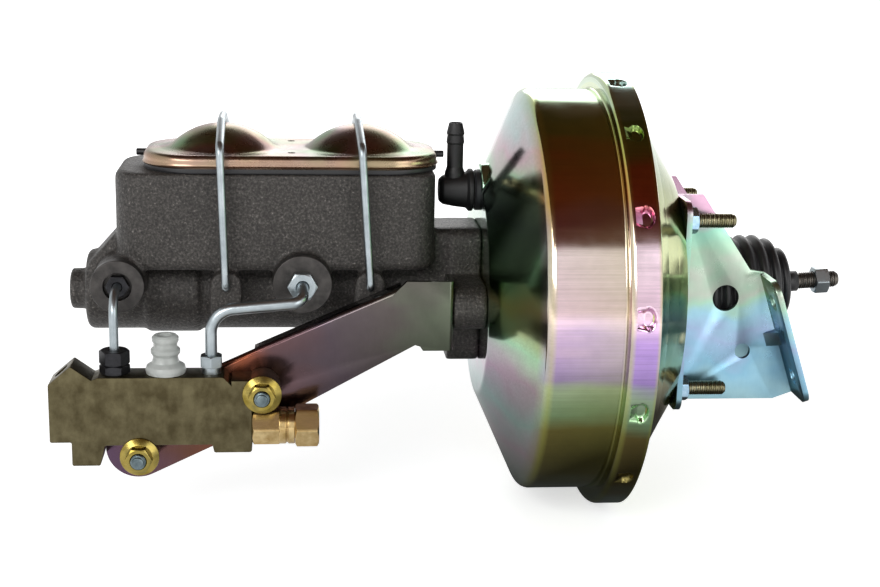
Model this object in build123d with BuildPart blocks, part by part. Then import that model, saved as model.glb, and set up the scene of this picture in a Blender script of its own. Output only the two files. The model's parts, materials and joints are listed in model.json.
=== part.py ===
"""Single-diaphragm vacuum brake booster with tandem master cylinder and combination valve.

Frame: origin on the booster axis in the plane of the rear mounting face, +X rearward
towards the firewall, +Z up, +Y to the far side. Lengths are in millimetres.
"""

from build123d import *
import os
from math import acos, cos, radians, sin, sqrt, tan

os.makedirs("parts", exist_ok=True)

# Clearances
PRESS_CLEAR = 0.02
SEAT_GAP = 0.1
RUNNING_GAP = 0.05
SOFT_GAP = 0.3
BOLT_CLEAR = 0.4

# Booster shells
SHELL_T = 1.8
RIM_R = 123.5
RIM_STEP = 9.2
RIM_LENGTH = 15.5
RIM_REAR_X = -27.0
RIM_CORNER_R = 6.0
DRUM_LENGTH = 38.5
CONE_LENGTH = 25.0
FRONT_FLAT_R = 60.0
PILOT_R = 18.0
LANCE_COUNT = 15
LANCE_R = 4.0
LANCE_DEPTH = 3.1
REAR_FLAT_R = 71.0
REAR_SLOPE_DROP = 1.3
NECK_R = 25.6
NECK_LENGTH = 12.0
BEAD_T = 2.2

RIM_STEP_X = RIM_REAR_X - RIM_LENGTH
DRUM_EDGE_X = RIM_STEP_X - DRUM_LENGTH
FRONT_X = DRUM_EDGE_X - CONE_LENGTH
RIM_INNER_R = RIM_R - SHELL_T
DRUM_R = RIM_R - RIM_STEP
REAR_SLOPE_R = DRUM_R - REAR_SLOPE_DROP

# Rear studs, nuts and firewall brackets
REAR_STUD_R = 4.0
REAR_STUD_PITCH_R = 3.6
STUD_CHAMFER = 0.9
REAR_STUD_Y = 42.0
REAR_STUD_Z = 47.8
REAR_STUD_TIP_X = 31.5
STUD_HEAD_R = 6.0
STUD_HEAD_T = 3.5
REAR_NUT_AF = 13.0
REAR_NUT_T = 6.8
BRACKET_T = 3.0
WEB_Y = 33.0
BASE_WIDTH = 26.0
BRACKET_TOP_Z = 60.5
BRACKET_BOTTOM_Z = -57.3
BEND_TOP = (53.2, 16.6)
BEND_BOTTOM = (76.4, -52.4)
FLANGE_WIDTH = 27.0
WEB_HOLE_R = 7.5
WEB_HOLE = (31.6, 1.8)
SMALL_HOLE_R = 4.4
SMALL_HOLE = (43.3, -29.2)
FIREWALL_HOLE_R = 4.6
FIREWALL_HOLE_INSET = 14.0
BEND_R = 2.4
BASE_CORNER_R = 8.0
DART_LEG = 8.0
DART_HALF = 4.0

# Push rod, boot and valve group
BALL_X = 12.0
ROD_TILT = 3.25
BALL_R = 5.5
ROD_R = 4.3
ROD_NECK_R = 3.6
SOCKET_MOUTH_R = 5.2
ROD_THREAD_R = 4.76
ROD_PITCH_R = 4.42
ROD_LENGTH = 95.5
ROD_THREAD_LENGTH = 24.0
JAM_NUT_AF = 14.3
JAM_NUT_T = 8.3
JAM_NUT_FROM_TIP = 6.4
BOOT_R = 29.5
BOOT_T = 1.6
BOOT_PITCH = 7.5
BOOT_VALLEY_R = 25.2
BOOT_FULL_RIDGES = 6
BOOT_FOLD_R = 1.3
BOOT_STEPS = ((27.5, 20.4), (21.8, 15.0))

# Hub group
HUB_TUBE_R = 19.0
HUB_BORE_R = 15.5
HUB_TUBE_END_X = 42.0
PLUNGER_R = 8.0
HUB_FLANGE_R = 34.0
HUB_FLANGE_X = -30.0
HUB_FLANGE_T = 5.0
HUB_NOSE_R = 20.0
HUB_NOSE_X = -52.0
DISC_R = 12.0
DISC_T = 7.0
PLATE_T = 1.2
PLATE_R = RIM_INNER_R - 26.7
DIAPHRAGM_T = 1.6
SPRING_WIRE_R = 1.8
SPRING_R = 27.0
SPRING_TURNS = 4
OUTPUT_ROD_R = 4.5
DISC_BACK_X = -22.0
KEY_X = -12.0
KEY_T = 2.4
KEY_WIDTH = 8.0
PLUNGER_WAIST_R = 5.4
PLUNGER_STROKE = 1.5
PLUNGER_COLLAR_R = 9.2
PLUNGER_COLLAR_T = 1.8
SOCKET_R = 7.4
HUB_STEP_X = 4.0

# Master cylinder casting
BORE_R = 12.7
BARREL_R = 22.4
BARREL_END_X = -324.0
NOSE_R = 11.4
NOSE_LENGTH = 9.6
FLANGE_T = 18.1
STUD_SPACING = 85.8
EAR_R = 12.5
FLANGE_HALF_Z = 38.2
FLANGE_HALF_Y = 22.0
FRONT_STUD_R = 4.76
FRONT_NUT_AF = 14.3
FRONT_NUT_T = 8.5
SPIGOT_LENGTH = 7.5
TANK_X0 = -306.0
TANK_X1 = -133.0
TANK_HALF_Y = 38.0
TANK_BOTTOM_Z = 18.0
TANK_TOP_Z = 71.0
TANK_WALL = 7.0
TANK_FLOOR = 10.0
FRONT_CAVITY_X = -250.0
REAR_CAVITY_X = -174.0
CAVITY_LENGTH = 68.0
WEB_HALF_Y = 18.0
BAND_X0 = -291.0
BAND_X1 = -262.0
BAND_R = 24.2
PORT_DEPTH = 12.0
LEFT_PORT_THREAD_R = 4.8
LEFT_RECESS_R = 7.6
LEFT_RECESS_DEPTH = 4.6
RIGHT_PORT_THREAD_R = 5.6
LEFT_PORT = (-303.7, 11.0)
LEFT_PORT_R = 14.4
LEFT_PORT_FACE_Y = -44.0
RIGHT_PORT = (-205.4, 13.0)
RIGHT_PORT_R = 16.0
RIGHT_PORT_FACE_Y = -48.0
LUG_Z = 10.5
LUG_R = 8.6
LUG_FACE_Y = 43.0
FRONT_LUG_X = -246.3
REAR_LUG_X = -168.7
LUG_T = 8.0
LUG_HOLE_GAP = 0.1
BAIL_WIRE_R = 2.0
BAIL_LEG_Y = 46.5
BAIL_CROWN_R = 86.0
BAIL_SHOULDER_R = 76.0
BAIL_CROWN_HALF = 13.0
BAIL_PIN_DEPTH = 7.5
FRONT_BAIL_LEAN = 1.8
REAR_BAIL_LEAN = 4.0

# Reservoir cover and gasket
COVER_X = -211.2
COVER_LENGTH = 160.0
COVER_HALF_Y = 37.5
COVER_CORNER_R = 28.0
COVER_T = 1.2
COVER_FLAT_Z = 80.6
COVER_SKIRT_Z = 74.2
DOME_OFFSET = 37.7
DOME_SPHERE_R = 39.2
DOME_CENTRE_Z = 54.5
COVER_EDGE_R = 3.2
COVER_LIP = 0.8
VENT_R = 2.2
VENT_Y = 23.0
GASKET_T = 3.2
TAB_R = 1.9
TAB_Z = 77.3
TAB_REACH = 4.9
CUP_BOTTOM_Z = 62.0
CUP_WALL = 1.6

# Pistons in the master cylinder
PISTON_R = BORE_R - RUNNING_GAP
CUP_T = 4.0
SPOOL_R = 6.5
PRIMARY_X = -102.0
PRIMARY_LENGTH = 62.0
SECONDARY_X = -226.0
SECONDARY_LENGTH = 42.0
BORE_END_X = -316.0
SMALL_SPRING_WIRE_R = 1.1
SMALL_SPRING_R = 9.2
SMALL_SPRING_TURNS = 5
SNAP_X = -101.9
SNAP_T = 1.2
SNAP_DEPTH = 1.0
STOP_SCREW_X = -222.6
STOP_SCREW_R = 3.0
STOP_SCREW_HEAD_R = 5.0
STOP_SCREW_TIP_Z = 11.2

# Combination valve and its bracket
VALVE_BACK_Y = -55.5
VALVE_DEPTH = 19.0
VALVE_LEFT_X = -337.2
VALVE_RIGHT_X = -232.2
VALVE_TOP_Z = -30.3
VALVE_LEFT_BOTTOM_Z = -65.5
VALVE_BOTTOM_Z = -67.3
VALVE_PORT_BOTTOM_Z = -71.8
LEG_X0 = -326.0
LEG_X1 = -311.4
LEG_Z = -78.4
PEAK = (-325.5, -24.0)
SHOULDER_Z = -34.0
NOTCH = (-315.0, -31.6)
VALVE_BORE_Z = -59.4
VALVE_BORE_FORWARD = 1.6
VALVE_BORE_R = 6.0
UPPER_BOLT = (VALVE_RIGHT_X + 5.5, -39.8)
LOWER_BOLT = (-291.0, -73.4)
VALVE_EAR_R = 9.4
VALVE_BOLT_R = 4.0
FLANGE_NUT_R = 10.3
FLANGE_NUT_FLANGE_T = 2.2
FLANGE_NUT_AF = 12.7
FLANGE_NUT_T = 8.5
VALVE_BRACKET_T = 3.2
VALVE_TAB_REACH = 26.0
ARM_TOP = (-152.7, 13.6)
ARM_TOP_LEFT = (-231.0, -20.8)
ARM_RIGHT_TOP_Z = 16.5
ARM_RIGHT_BOTTOM_Z = -21.8
ARM_LIP_DEPTH = 11.0
LOBE_R = 17.2
LOBE_CENTRE = (-293.5, -74.5)
VALVE_BOLT_LENGTH = 38.6
VALVE_BORE_END_X = -310.0
METERING_X = -318.7
METERING_R = 4.8
METERING_TOP_Z = -50.0
SWITCH_THREAD_R = 5.0
SWITCH_BASE_R = 10.6
SWITCH_BODY_R = 6.6
SWITCH_RING_R = 7.4
FITTING_AF = 18.0
FITTING_HEX_T = 15.2
FITTING_NECK_R = 9.9
FITTING_NECK_T = 7.4
CAP_AF = 20.4
CAP_T = 12.8
CAP_BORE_R = 7.2
OUTLET_R = 4.35
OUTLET_DEPTH = 9.0
PASSAGE_R = 1.6
OUTLET_X = VALVE_RIGHT_X - 10.8

# Brake lines
FRONT_LINE_R = 2.38
REAR_LINE_R = 3.18
LINE_WALL = 0.7
FRONT_LINE_BEND_R = 12.0
REAR_LINE_BEND_R = 13.0
REAR_LINE_X = VALVE_RIGHT_X - 21.2
SWITCH_X = REAR_LINE_X - 23.8
REAR_LINE_KNEE_Z = 7.5
REAR_LINE_RUN_Z = 3.2
TUBE_NUT_AF = 11.0
ADAPTER_AF = 14.0
ADAPTER_BORE_R = 5.0
ADAPTER_TOP_Z = -25.2
FRONT_VALVE_PORT_R = 6.5
REAR_VALVE_PORT_R = 5.0
REAR_NUT_TUBE_AF = 14.0

# Check valve
CHECK_Z = 57.0
CHECK_STEM_R = 7.5
CHECK_HOLE_R = 9.0
CHECK_PAD_R = 15.0
NIPPLE_X = -119.7
NIPPLE_R = 4.6
NIPPLE_BARB_R = 5.1
NIPPLE_TOP_Z = 95.0
NIPPLE_BORE_R = 2.9
CHECK_BORE_R = 4.3
CHECK_BORE_END_X = NIPPLE_X - NIPPLE_BORE_R - 1.5

VALVE_FRONT_Y = VALVE_BACK_Y - VALVE_DEPTH
VALVE_MID_Y = VALVE_BACK_Y - VALVE_DEPTH / 2
VALVE_BORE_Y = VALVE_MID_Y - VALVE_BORE_FORWARD
FLANGE_X = FRONT_X - FLANGE_T
REAR_STUDS = [(y, z) for y in (-REAR_STUD_Y, REAR_STUD_Y) for z in (-REAR_STUD_Z, REAR_STUD_Z)]
FRONT_STUDS = [(-STUD_SPACING / 2, 0), (STUD_SPACING / 2, 0)]
ROD_AXIS = Axis((BALL_X, 0, 0), (cos(radians(ROD_TILT)), 0, sin(radians(ROD_TILT))))


def cross_plane(x):
    """Plane across the booster axis at x, its own x along +Y and its own y along +Z."""
    return Plane.YZ.offset(x)


def side_plane(y):
    """Plane facing the near side at y, its own x along +X and its own y along +Z."""
    return Plane(origin=(0, y, 0), x_dir=(1, 0, 0), z_dir=(0, -1, 0))


def axial_plane(y=0.0, z=0.0):
    """Plane for turned outlines whose axis runs along X through y and z."""
    return Plane(origin=(0, y, z), x_dir=(1, 0, 0), z_dir=(0, -1, 0))


def turned(outline, plane=Plane.XZ):
    """Turn a closed (along, r) outline about the x axis of a plane."""
    with BuildPart() as piece:
        with BuildSketch(plane):
            with BuildLine():
                Polyline(*outline, close=True)
            make_face()
        revolve(axis=Axis(plane.origin, plane.x_dir))
    return piece.part


def pressed(path, radii, thickness, plane=Plane.XZ):
    """Turn a sheet whose middle follows the (along, r) path, bent at each corner."""
    with BuildPart() as piece:
        with BuildSketch(plane):
            with BuildLine():
                FilletPolyline(*path, radius=radii)
            trace(line_width=thickness)
        revolve(axis=Axis(plane.origin, plane.x_dir))
    return piece.part


def upright_plane(x, y, z=0.0):
    """Plane for outlines turned about the vertical line through x and y, along being up."""
    return Plane(origin=(x, y, z), x_dir=(0, 0, 1), z_dir=(0, 1, 0))


def sideways_plane(x, z):
    """Plane for outlines turned about the line along Y through x and z."""
    return Plane(origin=(x, 0, z), x_dir=(0, 1, 0), z_dir=(0, 0, 1))


def together(pieces):
    """Join separate solids of one kind into one part."""
    with BuildPart() as group:
        for piece in pieces:
            add(piece)
    return group.part


def hex_nut(plane, flats, thickness, bore_r):
    """Hexagon nut that stands on a plane, with its corners turned off on both faces."""
    corner_r = flats / sqrt(3)
    chamfer_len = corner_r - flats / 2
    with BuildPart() as nut:
        with BuildSketch(plane):
            RegularPolygon(radius=flats / 2, side_count=6, major_radius=False)
            Circle(bore_r, mode=Mode.SUBTRACT)
        extrude(amount=thickness)
        with BuildSketch(Plane(origin=plane.origin, x_dir=plane.y_dir, z_dir=plane.x_dir)):
            with BuildLine():
                Polyline(
                    (0, 0),
                    (flats / 2, 0),
                    (corner_r, chamfer_len / 2),
                    (corner_r, thickness - chamfer_len / 2),
                    (flats / 2, thickness),
                    (0, thickness),
                    close=True,
                )
            make_face()
        revolve(axis=Axis(plane.origin, plane.z_dir), mode=Mode.INTERSECT)
    return nut.part


def coil(axis_plane, mean_r, wire_r, length, turns):
    """Helical spring that stands on a plane."""
    with BuildPart() as spring:
        with BuildLine() as centre:
            Helix(pitch=length / turns, height=length, radius=mean_r)
        with BuildSketch(Plane(origin=centre.line @ 0, z_dir=centre.line % 0)):
            Circle(wire_r)
        sweep(is_frenet=True)
    return spring.part.moved(axis_plane.location)


def write(label, solid):
    """Label a finished piece and write it as its own file."""
    solid.label = label
    export_step(solid, f"parts/{label}.step")


def make_front_shell():
    """Front shell: flat nose, cone, drum, flared rim and the lances that lock the rear shell."""
    mid = SHELL_T / 2
    lance_reach = RIM_R - LANCE_DEPTH + LANCE_R
    lance_x = (RIM_STEP_X + RIM_REAR_X) / 2 + SHELL_T / 2
    skirt = pressed(
        [
            (FRONT_X + mid, PILOT_R + BOLT_CLEAR),
            (FRONT_X + mid, FRONT_FLAT_R),
            (DRUM_EDGE_X, DRUM_R - mid),
            (RIM_STEP_X + mid, DRUM_R - mid),
            (RIM_STEP_X + mid, RIM_R - mid),
            (RIM_REAR_X, RIM_R - mid),
        ],
        [8.0, 5.0, 2.0, RIM_CORNER_R],
        SHELL_T,
    )
    with BuildPart() as bumps:
        with Locations(cross_plane(lance_x)):
            with PolarLocations(lance_reach, LANCE_COUNT, start_angle=6):
                Sphere(LANCE_R + SHELL_T - SEAT_GAP)
        with Locations(Plane.YZ.offset(lance_x)):
            Cylinder(RIM_R - mid, RIM_LENGTH, mode=Mode.INTERSECT)
    with BuildPart() as shell:
        add(skirt)
        add(bumps.part)
        with BuildSketch(cross_plane(FRONT_X)):
            with Locations((0, CHECK_Z)):
                Circle(CHECK_PAD_R)
        extrude(amount=9.0)
        with BuildSketch(cross_plane(FRONT_X + SHELL_T)):
            with Locations((0, CHECK_Z)):
                Circle(CHECK_PAD_R - SHELL_T)
        extrude(amount=9.0, mode=Mode.SUBTRACT)
        with BuildSketch(cross_plane(FRONT_X)):
            with Locations((0, CHECK_Z)):
                Circle(CHECK_HOLE_R)
            with Locations(*FRONT_STUDS):
                Circle(FRONT_STUD_R + SEAT_GAP)
        extrude(amount=SHELL_T, mode=Mode.SUBTRACT)
        with Locations(cross_plane(lance_x)):
            with PolarLocations(lance_reach, LANCE_COUNT, start_angle=6):
                Sphere(LANCE_R, mode=Mode.SUBTRACT)
    return shell.part


def make_rear_shell():
    """Rear shell: crimped flange, concave slope, flat mounting face and the boot neck."""
    mid = SHELL_T / 2
    flange_x = RIM_STEP_X + SHELL_T + BEAD_T + mid
    slope = REAR_SLOPE_R - REAR_FLAT_R
    with BuildPart() as shell:
        add(
            pressed(
                [
                    (NECK_LENGTH, NECK_R - mid),
                    (-mid, NECK_R - mid),
                    (-mid, REAR_FLAT_R),
                    (-9.0, REAR_FLAT_R + 0.2976 * slope),
                    (-18.0, REAR_FLAT_R + 0.643 * slope),
                    (RIM_REAR_X + 1.0, REAR_SLOPE_R - mid),
                    (flange_x, REAR_SLOPE_R + 1.0),
                    (flange_x, RIM_INNER_R - 2.7),
                ],
                [2.0, 3.0, 12.0, 12.0, 3.0, 1.5],
                SHELL_T,
            )
        )
        with BuildSketch(cross_plane(-SHELL_T)):
            with Locations(*REAR_STUDS):
                Circle(REAR_STUD_R + PRESS_CLEAR)
        extrude(amount=SHELL_T, mode=Mode.SUBTRACT)
    return shell.part


def make_reinforcement():
    """Plate inside the nose that spreads the load of the master cylinder's studs."""
    with BuildPart() as plate:
        with BuildSketch(cross_plane(FRONT_X + SHELL_T)):
            RectangleRounded(STUD_SPACING + 2 * EAR_R, 56, 12)
            Circle(PILOT_R + 2 * BOLT_CLEAR, mode=Mode.SUBTRACT)
            with Locations(*FRONT_STUDS):
                Circle(FRONT_STUD_R + SEAT_GAP, mode=Mode.SUBTRACT)
        extrude(amount=2.5)
    return plate.part


def make_front_studs():
    """Two studs, headed inside the nose, that carry the master cylinder."""
    head_x = FRONT_X + SHELL_T + 2.5
    tip_x = FLANGE_X - VALVE_BRACKET_T - FRONT_NUT_T - 4.0
    with BuildPart() as studs:
        with BuildSketch(cross_plane(head_x)):
            with Locations(*FRONT_STUDS):
                Circle(STUD_HEAD_R + 1)
        extrude(amount=STUD_HEAD_T)
        with BuildSketch(cross_plane(tip_x)):
            with Locations(*FRONT_STUDS):
                Circle(FRONT_STUD_R)
        extrude(amount=head_x - tip_x)
        chamfer(studs.edges().group_by(Axis.X)[0], 0.8)
    return studs.part


def make_master_nuts():
    """Nuts on the two front studs; the near one also clamps the valve bracket."""
    near = hex_nut(
        Plane(
            origin=(FLANGE_X - VALVE_BRACKET_T, -STUD_SPACING / 2, 0),
            x_dir=(0, 0, 1),
            z_dir=(-1, 0, 0),
        ),
        FRONT_NUT_AF,
        FRONT_NUT_T,
        FRONT_STUD_R + PRESS_CLEAR,
    )
    far = hex_nut(
        Plane(origin=(FLANGE_X, STUD_SPACING / 2, 0), x_dir=(0, 0, 1), z_dir=(-1, 0, 0)),
        FRONT_NUT_AF,
        FRONT_NUT_T,
        FRONT_STUD_R + PRESS_CLEAR,
    )
    return together([near, far])


def make_rear_studs():
    """Four studs pressed through the rear face from inside, threaded at full size past the nuts."""
    nut_end = BRACKET_T + REAR_NUT_T + PRESS_CLEAR
    outline = [
        (REAR_STUD_TIP_X, 0),
        (REAR_STUD_TIP_X, REAR_STUD_R - STUD_CHAMFER),
        (REAR_STUD_TIP_X - STUD_CHAMFER, REAR_STUD_R),
        (nut_end, REAR_STUD_R),
        (nut_end, REAR_STUD_PITCH_R),
        (-SEAT_GAP, REAR_STUD_PITCH_R),
        (-SEAT_GAP, REAR_STUD_R),
        (-SHELL_T, REAR_STUD_R),
        (-SHELL_T, STUD_HEAD_R),
        (-SHELL_T - STUD_HEAD_T, STUD_HEAD_R),
        (-SHELL_T - STUD_HEAD_T, 0),
    ]
    return together([turned(outline, axial_plane(y, z)) for y, z in REAR_STUDS])


def make_rear_nuts():
    """Nuts that clamp both firewall brackets to the rear face."""
    nuts = [
        hex_nut(
            Plane(origin=(BRACKET_T, y, z), x_dir=(0, 0, 1), z_dir=(1, 0, 0)),
            REAR_NUT_AF,
            REAR_NUT_T,
            REAR_STUD_PITCH_R + PRESS_CLEAR,
        )
        for y, z in REAR_STUDS
    ]
    return together(nuts)


def bend_direction():
    """Unit vector down the firewall bend of a bracket, in the (x, z) plane."""
    dx = BEND_BOTTOM[0] - BEND_TOP[0]
    dz = BEND_BOTTOM[1] - BEND_TOP[1]
    length = sqrt(dx * dx + dz * dz)
    return dx / length, dz / length, length


def firewall_plane():
    """Plane of a bracket's firewall flange: own x outward to the near side, own y down it."""
    ux, uz, _ = bend_direction()
    return Plane(
        origin=(BEND_TOP[0], -WEB_Y + BRACKET_T, BEND_TOP[1]),
        x_dir=(0, -1, 0),
        z_dir=(-uz, 0, ux),
    )


def make_dart():
    """Stiffening dart pressed across the firewall bend of a bracket."""
    ux, uz, length = bend_direction()
    along = 0.52 * length
    with BuildPart() as dart:
        with BuildSketch(
            Plane(
                origin=(BEND_TOP[0] + ux * along, -WEB_Y, BEND_TOP[1] + uz * along),
                x_dir=(0, -1, 0),
                z_dir=(ux, 0, uz),
            )
        ):
            with BuildLine():
                Polyline(
                    (-1.0, BRACKET_T - 1.0),
                    (DART_LEG, BRACKET_T - 1.0),
                    (-1.0, BRACKET_T + DART_LEG),
                    close=True,
                )
            make_face()
        extrude(amount=DART_HALF, both=True)
    return dart.part


def make_near_bracket():
    """Stamped bracket: base on the booster, web, and a slanted flange for the firewall."""
    ux, uz, length = bend_direction()
    mouth = firewall_plane()
    reach = FLANGE_WIDTH + BRACKET_T
    with BuildPart() as bracket:
        with BuildSketch(side_plane(-WEB_Y + BRACKET_T)):
            with BuildLine():
                Polyline(
                    (0, BRACKET_BOTTOM_Z),
                    (0, BRACKET_TOP_Z),
                    (15.5, BRACKET_TOP_Z),
                    (44.6, 18.0),
                    BEND_TOP,
                    BEND_BOTTOM,
                    (62.9, BRACKET_BOTTOM_Z),
                    close=True,
                )
            make_face()
        extrude(amount=BRACKET_T)
        with BuildSketch(cross_plane(0)):
            with Locations((-WEB_Y + BRACKET_T, (BRACKET_TOP_Z + BRACKET_BOTTOM_Z) / 2)):
                Rectangle(
                    BASE_WIDTH + BRACKET_T,
                    BRACKET_TOP_Z - BRACKET_BOTTOM_Z,
                    align=(Align.MAX, Align.CENTER),
                )
        extrude(amount=BRACKET_T)
        fillet(bracket.edges().filter_by(Axis.X).group_by(Axis.Y)[0], BASE_CORNER_R)
        with BuildSketch(mouth):
            Rectangle(reach, length, align=(Align.MIN, Align.MIN))
            fillet(vertices().group_by(Axis.X)[-1], BASE_CORNER_R)
        extrude(amount=-BRACKET_T)
        with BuildSketch(side_plane(-WEB_Y + BRACKET_T)):
            with Locations(WEB_HOLE):
                Circle(WEB_HOLE_R)
            with Locations(SMALL_HOLE):
                Circle(SMALL_HOLE_R)
        extrude(amount=BRACKET_T, mode=Mode.SUBTRACT)
        with BuildSketch(cross_plane(0)):
            with Locations(*[(y, z) for y, z in REAR_STUDS if y < 0]):
                Circle(REAR_STUD_R + BOLT_CLEAR)
        extrude(amount=BRACKET_T, mode=Mode.SUBTRACT)
        add(make_dart())
        with BuildSketch(mouth):
            with Locations(
                (reach / 2 + BRACKET_T / 2, FIREWALL_HOLE_INSET),
                (reach / 2 + BRACKET_T / 2, length - FIREWALL_HOLE_INSET),
            ):
                Circle(FIREWALL_HOLE_R)
        extrude(amount=-BRACKET_T, mode=Mode.SUBTRACT)
        rounded = bracket.edges().filter_by(
            lambda e: abs(e.center().Y + WEB_Y - BRACKET_T) < 0.01
            and (abs(e.center().X) < 0.01 or abs(abs(e.tangent_at(0.5).Z) + uz) < 0.01)
        )
        fillet(rounded, BEND_R)
    return bracket.part


def rod_plane(along=0.0):
    """Plane for outlines turned about the push rod's axis, from its ball's centre."""
    tilt = radians(ROD_TILT)
    return Plane(
        origin=(BALL_X + along * cos(tilt), 0, along * sin(tilt)),
        x_dir=(cos(tilt), 0, sin(tilt)),
        z_dir=(0, -1, 0),
    )


def rod_cross(along):
    """Plane across the push rod at a distance from its ball's centre."""
    turned_plane = rod_plane(along)
    return Plane(origin=turned_plane.origin, x_dir=(0, 1, 0), z_dir=turned_plane.x_dir)


def make_input_rod():
    """Push rod with its ball end and the threaded end for the pedal's clevis."""
    thread_start = ROD_LENGTH - ROD_THREAD_LENGTH
    nut_start = ROD_LENGTH - JAM_NUT_FROM_TIP - JAM_NUT_T - PRESS_CLEAR
    nut_end = ROD_LENGTH - JAM_NUT_FROM_TIP + PRESS_CLEAR
    with BuildPart() as rod:
        with Locations((BALL_X, 0, 0)):
            Sphere(BALL_R)
        add(
            turned(
                [
                    (0, 0),
                    (0, ROD_NECK_R),
                    (9.0, ROD_NECK_R),
                    (10.0, ROD_R),
                    (thread_start, ROD_R),
                    (thread_start + 0.5, ROD_THREAD_R),
                    (nut_start, ROD_THREAD_R),
                    (nut_start, ROD_PITCH_R),
                    (nut_end, ROD_PITCH_R),
                    (nut_end, ROD_THREAD_R),
                    (ROD_LENGTH - 1.2, ROD_THREAD_R),
                    (ROD_LENGTH, ROD_THREAD_R - 1.2),
                    (ROD_LENGTH, 0),
                ],
                rod_plane(),
            )
        )
    return rod.part


def make_jam_nut():
    """Lock nut on the push rod's thread."""
    start = ROD_LENGTH - JAM_NUT_FROM_TIP - JAM_NUT_T
    return hex_nut(rod_cross(start), JAM_NUT_AF, JAM_NUT_T, ROD_PITCH_R + PRESS_CLEAR)


def make_boot():
    """Rubber bellows over the valve body, stepping down to grip the push rod."""
    mid = BOOT_T / 2
    ridge = BOOT_R - mid
    valley = BOOT_VALLEY_R - mid
    path = [(-9.4, NECK_R + SOFT_GAP + 1.0 + mid), (1.2, NECK_R + SOFT_GAP + 1.0 + mid)]
    radii = [1.0]
    along = 4.4
    for _ in range(BOOT_FULL_RIDGES):
        path.append((along, valley))
        path.append((along + BOOT_PITCH / 2, ridge))
        radii += [BOOT_FOLD_R, BOOT_FOLD_R]
        along += BOOT_PITCH
    for top, bottom in BOOT_STEPS:
        path.append((along, bottom + 1.6))
        path.append((along + BOOT_PITCH / 2, top - mid))
        radii += [BOOT_FOLD_R, BOOT_FOLD_R]
        along += BOOT_PITCH
    lip = ROD_R + PRESS_CLEAR + mid
    path += [(along, lip + 1.2), (along + 1.2, lip), (along + 6.4, lip)]
    radii += [1.0, 1.0]
    return pressed(path, radii, BOOT_T, rod_plane())


def make_valve_body():
    """Hub that carries the diaphragm and holds the air valve, pierced for the push rod."""
    with BuildPart() as hub:
        add(
            turned(
                [
                    (HUB_NOSE_X, DISC_R + SEAT_GAP),
                    (HUB_NOSE_X, HUB_NOSE_R),
                    (HUB_FLANGE_X - HUB_FLANGE_T, HUB_NOSE_R),
                    (HUB_FLANGE_X - HUB_FLANGE_T, HUB_FLANGE_R),
                    (HUB_FLANGE_X, HUB_FLANGE_R),
                    (HUB_FLANGE_X, HUB_TUBE_R + 3.0),
                    (HUB_FLANGE_X + 5.0, HUB_TUBE_R),
                    (HUB_TUBE_END_X, HUB_TUBE_R),
                    (HUB_TUBE_END_X, HUB_BORE_R),
                    (HUB_STEP_X, HUB_BORE_R),
                    (HUB_STEP_X, PLUNGER_R + RUNNING_GAP),
                    (DISC_BACK_X, PLUNGER_R + RUNNING_GAP),
                    (DISC_BACK_X, DISC_R + SEAT_GAP),
                ]
            )
        )
        with BuildSketch(Plane.XY.offset(-HUB_TUBE_R)):
            with Locations((KEY_X, 0)):
                Rectangle(KEY_T + 2 * SOFT_GAP, KEY_WIDTH + 2 * SOFT_GAP)
        extrude(amount=HUB_TUBE_R, mode=Mode.SUBTRACT)
    return hub.part


def make_plunger():
    """Air valve plunger with the socket that holds the push rod's ball."""
    collar_x = HUB_STEP_X + PLUNGER_STROKE + SEAT_GAP
    collar_end = collar_x + PLUNGER_COLLAR_T
    waist_end = KEY_X + KEY_T / 2 + PLUNGER_STROKE + SEAT_GAP
    with BuildPart() as plunger:
        add(
            turned(
                [
                    (DISC_BACK_X + 2.0, 0),
                    (DISC_BACK_X + 2.0, PLUNGER_R),
                    (KEY_X - KEY_T, PLUNGER_R),
                    (KEY_X - KEY_T, PLUNGER_WAIST_R),
                    (waist_end, PLUNGER_WAIST_R),
                    (waist_end, PLUNGER_R),
                    (collar_x, PLUNGER_R),
                    (collar_x, PLUNGER_COLLAR_R),
                    (collar_end, PLUNGER_COLLAR_R),
                    (collar_end + 0.4, SOCKET_R),
                    (BALL_X + 2.2, SOCKET_R),
                    (BALL_X + 2.2, 0),
                ]
            )
        )
        with Locations((BALL_X, 0, 0)):
            Sphere(BALL_R + SEAT_GAP, mode=Mode.SUBTRACT)
        with BuildSketch(cross_plane(BALL_X)):
            Circle(SOCKET_MOUTH_R)
        extrude(amount=6.0, mode=Mode.SUBTRACT)
    return plunger.part


def make_plunger_key():
    """Key through the hub's slot that limits the plunger's stroke."""
    with BuildPart() as key:
        with BuildSketch(cross_plane(KEY_X - KEY_T / 2)):
            with Locations((0, -(PLUNGER_WAIST_R + HUB_TUBE_R) / 2)):
                Rectangle(KEY_WIDTH, HUB_TUBE_R - PLUNGER_WAIST_R - 2 * SOFT_GAP)
        extrude(amount=KEY_T)
    return key.part


def make_poppet_valve():
    """Rubber poppet that closes on the hub's seat and on the plunger."""
    return turned([(8.0, 8.2), (8.0, 15.3), (11.0, 15.3), (11.0, 8.2)])


def make_poppet_retainer():
    """Sheet ring that holds the poppet's outer edge in the hub."""
    return turned([(23.0, 10.0), (23.0, 15.45), (29.5, 15.45), (29.5, 14.2), (24.2, 14.2), (24.2, 10.0)])


def make_air_filter():
    """Felt air filter in the mouth of the hub."""
    return turned([(30.5, 7.4), (30.5, 15.3), (40.5, 15.3), (40.5, 7.4)])


def make_hub_seal():
    """Lip seal between the hub and the rear shell's neck."""
    inner = HUB_TUBE_R + RUNNING_GAP
    outer = NECK_R - SHELL_T - PRESS_CLEAR
    return turned(
        [(0.5, inner), (0.5, outer), (9.0, outer), (9.0, outer - 1.6), (3.0, outer - 2.0), (6.0, inner)]
    )


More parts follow.
